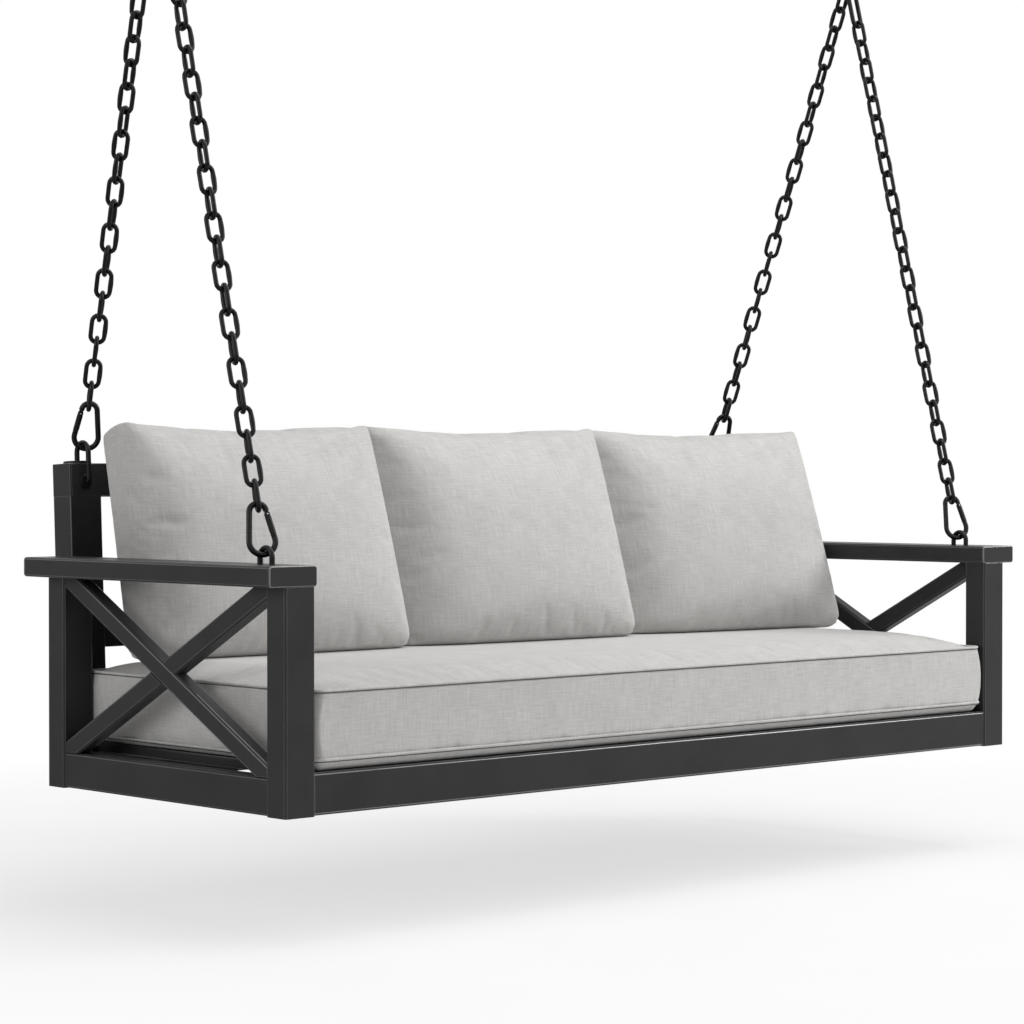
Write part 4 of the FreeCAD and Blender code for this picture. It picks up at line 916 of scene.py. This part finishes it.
weltGroup = weltTree()
for cord in seatWelts:
    line = bpy.data.curves.new("weltLine", "CURVE")
    line.dimensions = "3D"
    spline = line.splines.new("POLY")
    ring = seamLoop(cord["level"])
    spline.points.add(len(ring) - 1)
    for point, spot in zip(spline.points, ring):
        out = Vector((spot.x - seatMiddle.x, spot.y - seatMiddle.y, 0))
        edge = [max(0.0, abs(o) - h + seatPad["corner"]) * math.copysign(1, o) for o, h in zip(out, seatHalf)]
        out = Vector((edge[0], edge[1], 0)).normalized()
        point.co = (*(spot + out * cord["push"]), 1)
    spline.use_cyclic_u = True
    guide = addObject("weltLine", line)
    mesh = bakeTree(guide, weltGroup, {"Radius": cord["radius"], "Step": 0.006, "Finish": cord["finish"]})
    bpy.data.objects.remove(guide)
    welt = addObject(cord["name"], mesh)
    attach(welt, "swing")
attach(seat, "swing")
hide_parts("seat_cushion")
print("stage: welts")


# Back cushions: loose, plump, soft corners, each leaning on the slats
backPad = dict(cells=(76, 18, 56), width=0.6004, height=0.440, spacing=0.60367, base=0.2375, nominal=0.11,
               front=0.452, lean=16.8, baseDepth=0.090, headDepth=0.150, endDepth=0.112, endTaper=0.034,
               frontCrown=0.058, rearCrown=0.016, sag=0.026, topBulge=0.006, earDrop=0.030,
               roll=0.050, edge=0.022, rearRound=0.018, topRound=0.014, baseRound=0.036, topCorner=0.012,
               baseCorner=0.024, clothDepth=0.12, baseBand=0.245, seamHold=0.75, baseHold=0.6,
               fill=dict(pressure=4.0, slack=0.008, stiff=15, bend=2.0, frames=20, cap=0.026))
# How far each end stands forward, at the seat and at the top, how far the left edge falls back, and its gap
stances = dict(
    left=dict(leftBase=0.0, leftTop=0.021, rightBase=0.010, rightTop=0.006, fall=0.0, gap=0.0),
    middle=dict(leftBase=0.0, leftTop=0.0, rightBase=0.030, rightTop=0.026, fall=0.036, gap=0.009),
    right=dict(leftBase=0.0, leftTop=0.0, rightBase=0.070, rightTop=0.062, fall=0.036, gap=0.009))
# Where a cushion meets its neighbours, the arms, the slats, the rear snaps and the seat
padRoom = dict(gap=0.0014, arm=0.9045, slats=0.307, slatGap=0.0012, hookFrom=0.80, hookBase=-1.24,
               hookGap=0.003, seatBand=0.30, castFrom=0.5, seatGap=0.0008)
seatCorners = [vertex.co.copy() for vertex in seat.data.vertices]
seatTop = BVHTree.FromPolygons(seatCorners, [tuple(face.vertices) for face in seat.data.polygons])
snapClear = {side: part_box("snap_rear_" + side)[0].y - padRoom["hookGap"] for side in ("left", "right")}


def padForm(centre, stance):
    pad = backPad
    half = (pad["width"] / 2, pad["nominal"] / 2, pad["height"] / 2)

    def place(a, b, c):
        box = Vector(((2 * a - 1) * half[0], (2 * b - 1) * half[1], (2 * c - 1) * half[2]))
        frontEdge = pad["roll"] if box.x < 0 else pad["edge"]
        planRound = frontEdge if box.y < 0 else pad["rearRound"]
        plan = roundedBox(Vector((box.x, box.y, 0)), (half[0], half[1], 1), planRound)
        sideRound = pad["baseRound"] if box.y < 0 and box.z < 0 else pad["topRound"]
        rise = roundedBox(Vector((0, plan.y, box.z)), (1, half[1], half[2]), sideRound)
        corner = pad["topCorner"] if box.z > 0 else pad["baseCorner"]
        face = roundedBox(Vector((plan.x, 0, rise.z)), (half[0], 1, half[2]), corner)
        box = Vector((face.x, rise.y, face.z))
        u, w, v = box.x / half[0], (box.y / half[1] + 1) / 2, (box.z / half[2] + 1) / 2  # across, back, up
        ends = max(0.0, (abs(u) - 0.45) / 0.55) ** 2
        depth = pad["baseDepth"] + (pad["headDepth"] - pad["baseDepth"]) * v
        depth += (pad["endDepth"] - pad["endTaper"] * v - depth) * abs(u) ** 3
        front = pad["front"] + v * pad["height"] * math.tan(math.radians(pad["lean"]))
        rear = front + depth
        swell = max(0.0, 1 - abs(u) ** 2.0) ** 0.6 * max(0.0, 1 - abs(2 * v - 1) ** 2.4) ** 0.6
        y = front + w * (rear - front)
        y += pad["rearCrown"] * swell * w - pad["frontCrown"] * swell * (1 - w)
        y -= (stance["leftBase"] + (stance["leftTop"] - stance["leftBase"]) * v) * (1 - u) / 2
        y -= (stance["rightBase"] + (stance["rightTop"] - stance["rightBase"]) * v) * (1 + u) / 2
        y += stance["fall"] * max(0.0, (-u - 0.5) / 0.5) ** 2 * (1 - w)
        z = pad["base"] + v * pad["height"] - pad["sag"] * (1 - u * u) * v * v
        z += (pad["topBulge"] * math.sin(math.pi * w) - pad["earDrop"] * w * ends * v) * v
        x = centre + box.x + stance["gap"] * max(0.0, -u) ** 3
        return Vector((x, frontFace + y, footLevel + z))

    return place


# Keeps a cushion off its neighbours
def settlePad(points, centre, side):
    room = padRoom
    half = backPad["spacing"] / 2 - room["gap"]
    points[:, 0] = np.clip(points[:, 0], centre - half, centre + half)
    if side == "left":
        points[:, 0] = np.maximum(points[:, 0], -room["arm"])
    if side == "right":
        points[:, 0] = np.minimum(points[:, 0], room["arm"])
    slats = room["slats"] + (points[:, 2] - footLevel) * math.tan(recline) - room["slatGap"]
    points[:, 1] = np.minimum(points[:, 1], slats)
    if side in snapClear:
        byHook = (np.abs(points[:, 0]) > room["hookFrom"]) & (points[:, 2] > room["hookBase"])
        points[byHook, 1] = np.minimum(points[byHook, 1], snapClear[side])
    for k in np.nonzero(points[:, 2] < footLevel + room["seatBand"])[0]:
        above = Vector((points[k, 0], points[k, 1], footLevel + room["castFrom"]))
        hit = seatTop.ray_cast(above, Vector((0, 0, -1)))[0]
        if hit is not None:
            points[k, 2] = max(points[k, 2], hit.z + room["seatGap"])
    return points


for side, step in (("left", -1), ("middle", 0), ("right", 1)):
    pad = backPad
    centre = step * pad["spacing"]
    sizes = (pad["width"], pad["clothDepth"], pad["height"])
    grid = padGrid(pad["cells"], padForm(centre, stances[side]), sizes)
    piece = softObject("backCushion" + side.title(), grid)
    points = pointsOf(piece.data)
    base = points[:, 2] < footLevel + pad["baseBand"]
    hold = np.where(seamOf(piece.data), pad["seamHold"], np.where(base, pad["baseHold"], 0.0))
    points = fillPad(piece, pad["fill"], hold)
    storePoints(piece, settlePad(points, centre, side))
    subdivide(piece)
    storePoints(piece, settlePad(pointsOf(piece.data), centre, side))
    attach(piece, "swing")
    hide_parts("back_cushion_" + side)
    print("stage: back cushion", side, len(piece.data.polygons), "faces")


# Pale floor a hand's height under the swing, white surround, soft studio light
studio = dict(floorDrop=0.22, floorSize=14.0, ambient=0.12, fadeFrom=0.9, fadeTo=2.6, shadow=0.68)
floorMesh = bpy.data.meshes.new("floor")
reach = studio["floorSize"]
corners = [(-reach, -reach, 0), (reach, -reach, 0), (reach, reach, 0), (-reach, reach, 0)]
floorMesh.from_pydata(corners, [], [(0, 1, 2, 3)])
floorMesh.transform(Matrix.Translation((0, 0, footLevel - studio["floorDrop"])))
floor = addObject("floor", floorMesh)
floorPaint, tree, shader = finishTree("floorPaint")
place = addNode(tree, "ShaderNodeTexCoord").outputs["Object"]
tone = rangeNode(tree, noiseNode(tree, place, 3, 2), 0.3, 0.7, 0, 1)
tree.links.new(colourMix(tree, tone, (0.86, 0.86, 0.86), (0.9, 0.9, 0.9)), shader.inputs["Base Color"])
setInputs(shader, {"Roughness": 0.9, "Specular IOR Level": 0.0})
flatten = addNode(tree, "ShaderNodeVectorMath", operation="MULTIPLY")
flatten.inputs[1].default_value = (1, 1, 0)
tree.links.new(place, flatten.inputs[0])
away = addNode(tree, "ShaderNodeVectorMath", operation="LENGTH")
tree.links.new(flatten.outputs[0], away.inputs[0])
# Shadow near the swing, plain white farther off
fade = rangeNode(tree, away.outputs["Value"], studio["fadeFrom"], studio["fadeTo"], studio["shadow"], 1)
seen = mathNode(tree, "MULTIPLY", fade, addNode(tree, "ShaderNodeLightPath").outputs["Is Camera Ray"])
glow = addNode(tree, "ShaderNodeEmission")
setInputs(glow, {"Color": (1, 1, 1, 1), "Strength": 1})
blend = addNode(tree, "ShaderNodeMixShader")
tree.links.new(seen, blend.inputs[0])
tree.links.new(shader.outputs[0], blend.inputs[1])
tree.links.new(glow.outputs[0], blend.inputs[2])
tree.links.new(blend.outputs[0], tree.nodes["Material Output"].inputs[0])
floorMesh.materials.append(floorPaint)

world = bpy.data.worlds.new("studio")
scene.world = world
world.use_nodes = True
tree = world.node_tree
tree.nodes.clear()
path = addNode(tree, "ShaderNodeLightPath").outputs
seen = mathNode(tree, "MAXIMUM", path["Is Camera Ray"], path["Is Glossy Ray"])
seen = mathNode(tree, "MAXIMUM", seen, path["Is Transmission Ray"])
white = addNode(tree, "ShaderNodeBackground")
setInputs(white, {"Color": (1, 1, 1, 1), "Strength": 1})
soft = addNode(tree, "ShaderNodeBackground")
setInputs(soft, {"Color": (1, 1, 1, 1), "Strength": studio["ambient"]})
pick = addNode(tree, "ShaderNodeMixShader")
tree.links.new(seen, pick.inputs[0])
tree.links.new(soft.outputs[0], pick.inputs[1])
tree.links.new(white.outputs[0], pick.inputs[2])
tree.links.new(pick.outputs[0], addNode(tree, "ShaderNodeOutputWorld").inputs[0])


def softLamp(name, place, aim, size, power):
    lamp = bpy.data.lights.new(name, "AREA")
    lamp.shape = "SQUARE"
    lamp.size = size
    lamp.energy = power
    holder = addObject(name, lamp)
    holder.location = place
    holder.rotation_mode = "QUATERNION"
    holder.rotation_quaternion = (Vector(aim) - Vector(place)).to_track_quat("-Z", "Y")


target = (0, -0.1, -1.5)
softLamp("keyLamp", (4.4, -3.0, 1.2), target, size=2.2, power=154)
softLamp("topLamp", (0.5, -0.9, 2.4), target, size=3.6, power=128)
softLamp("sideLamp", (-4.6, 0.3, 0.1), target, size=2.4, power=56)
softLamp("frontLamp", (0.8, -5.0, 0.0), target, size=2.4, power=32)
print("stage: studio")
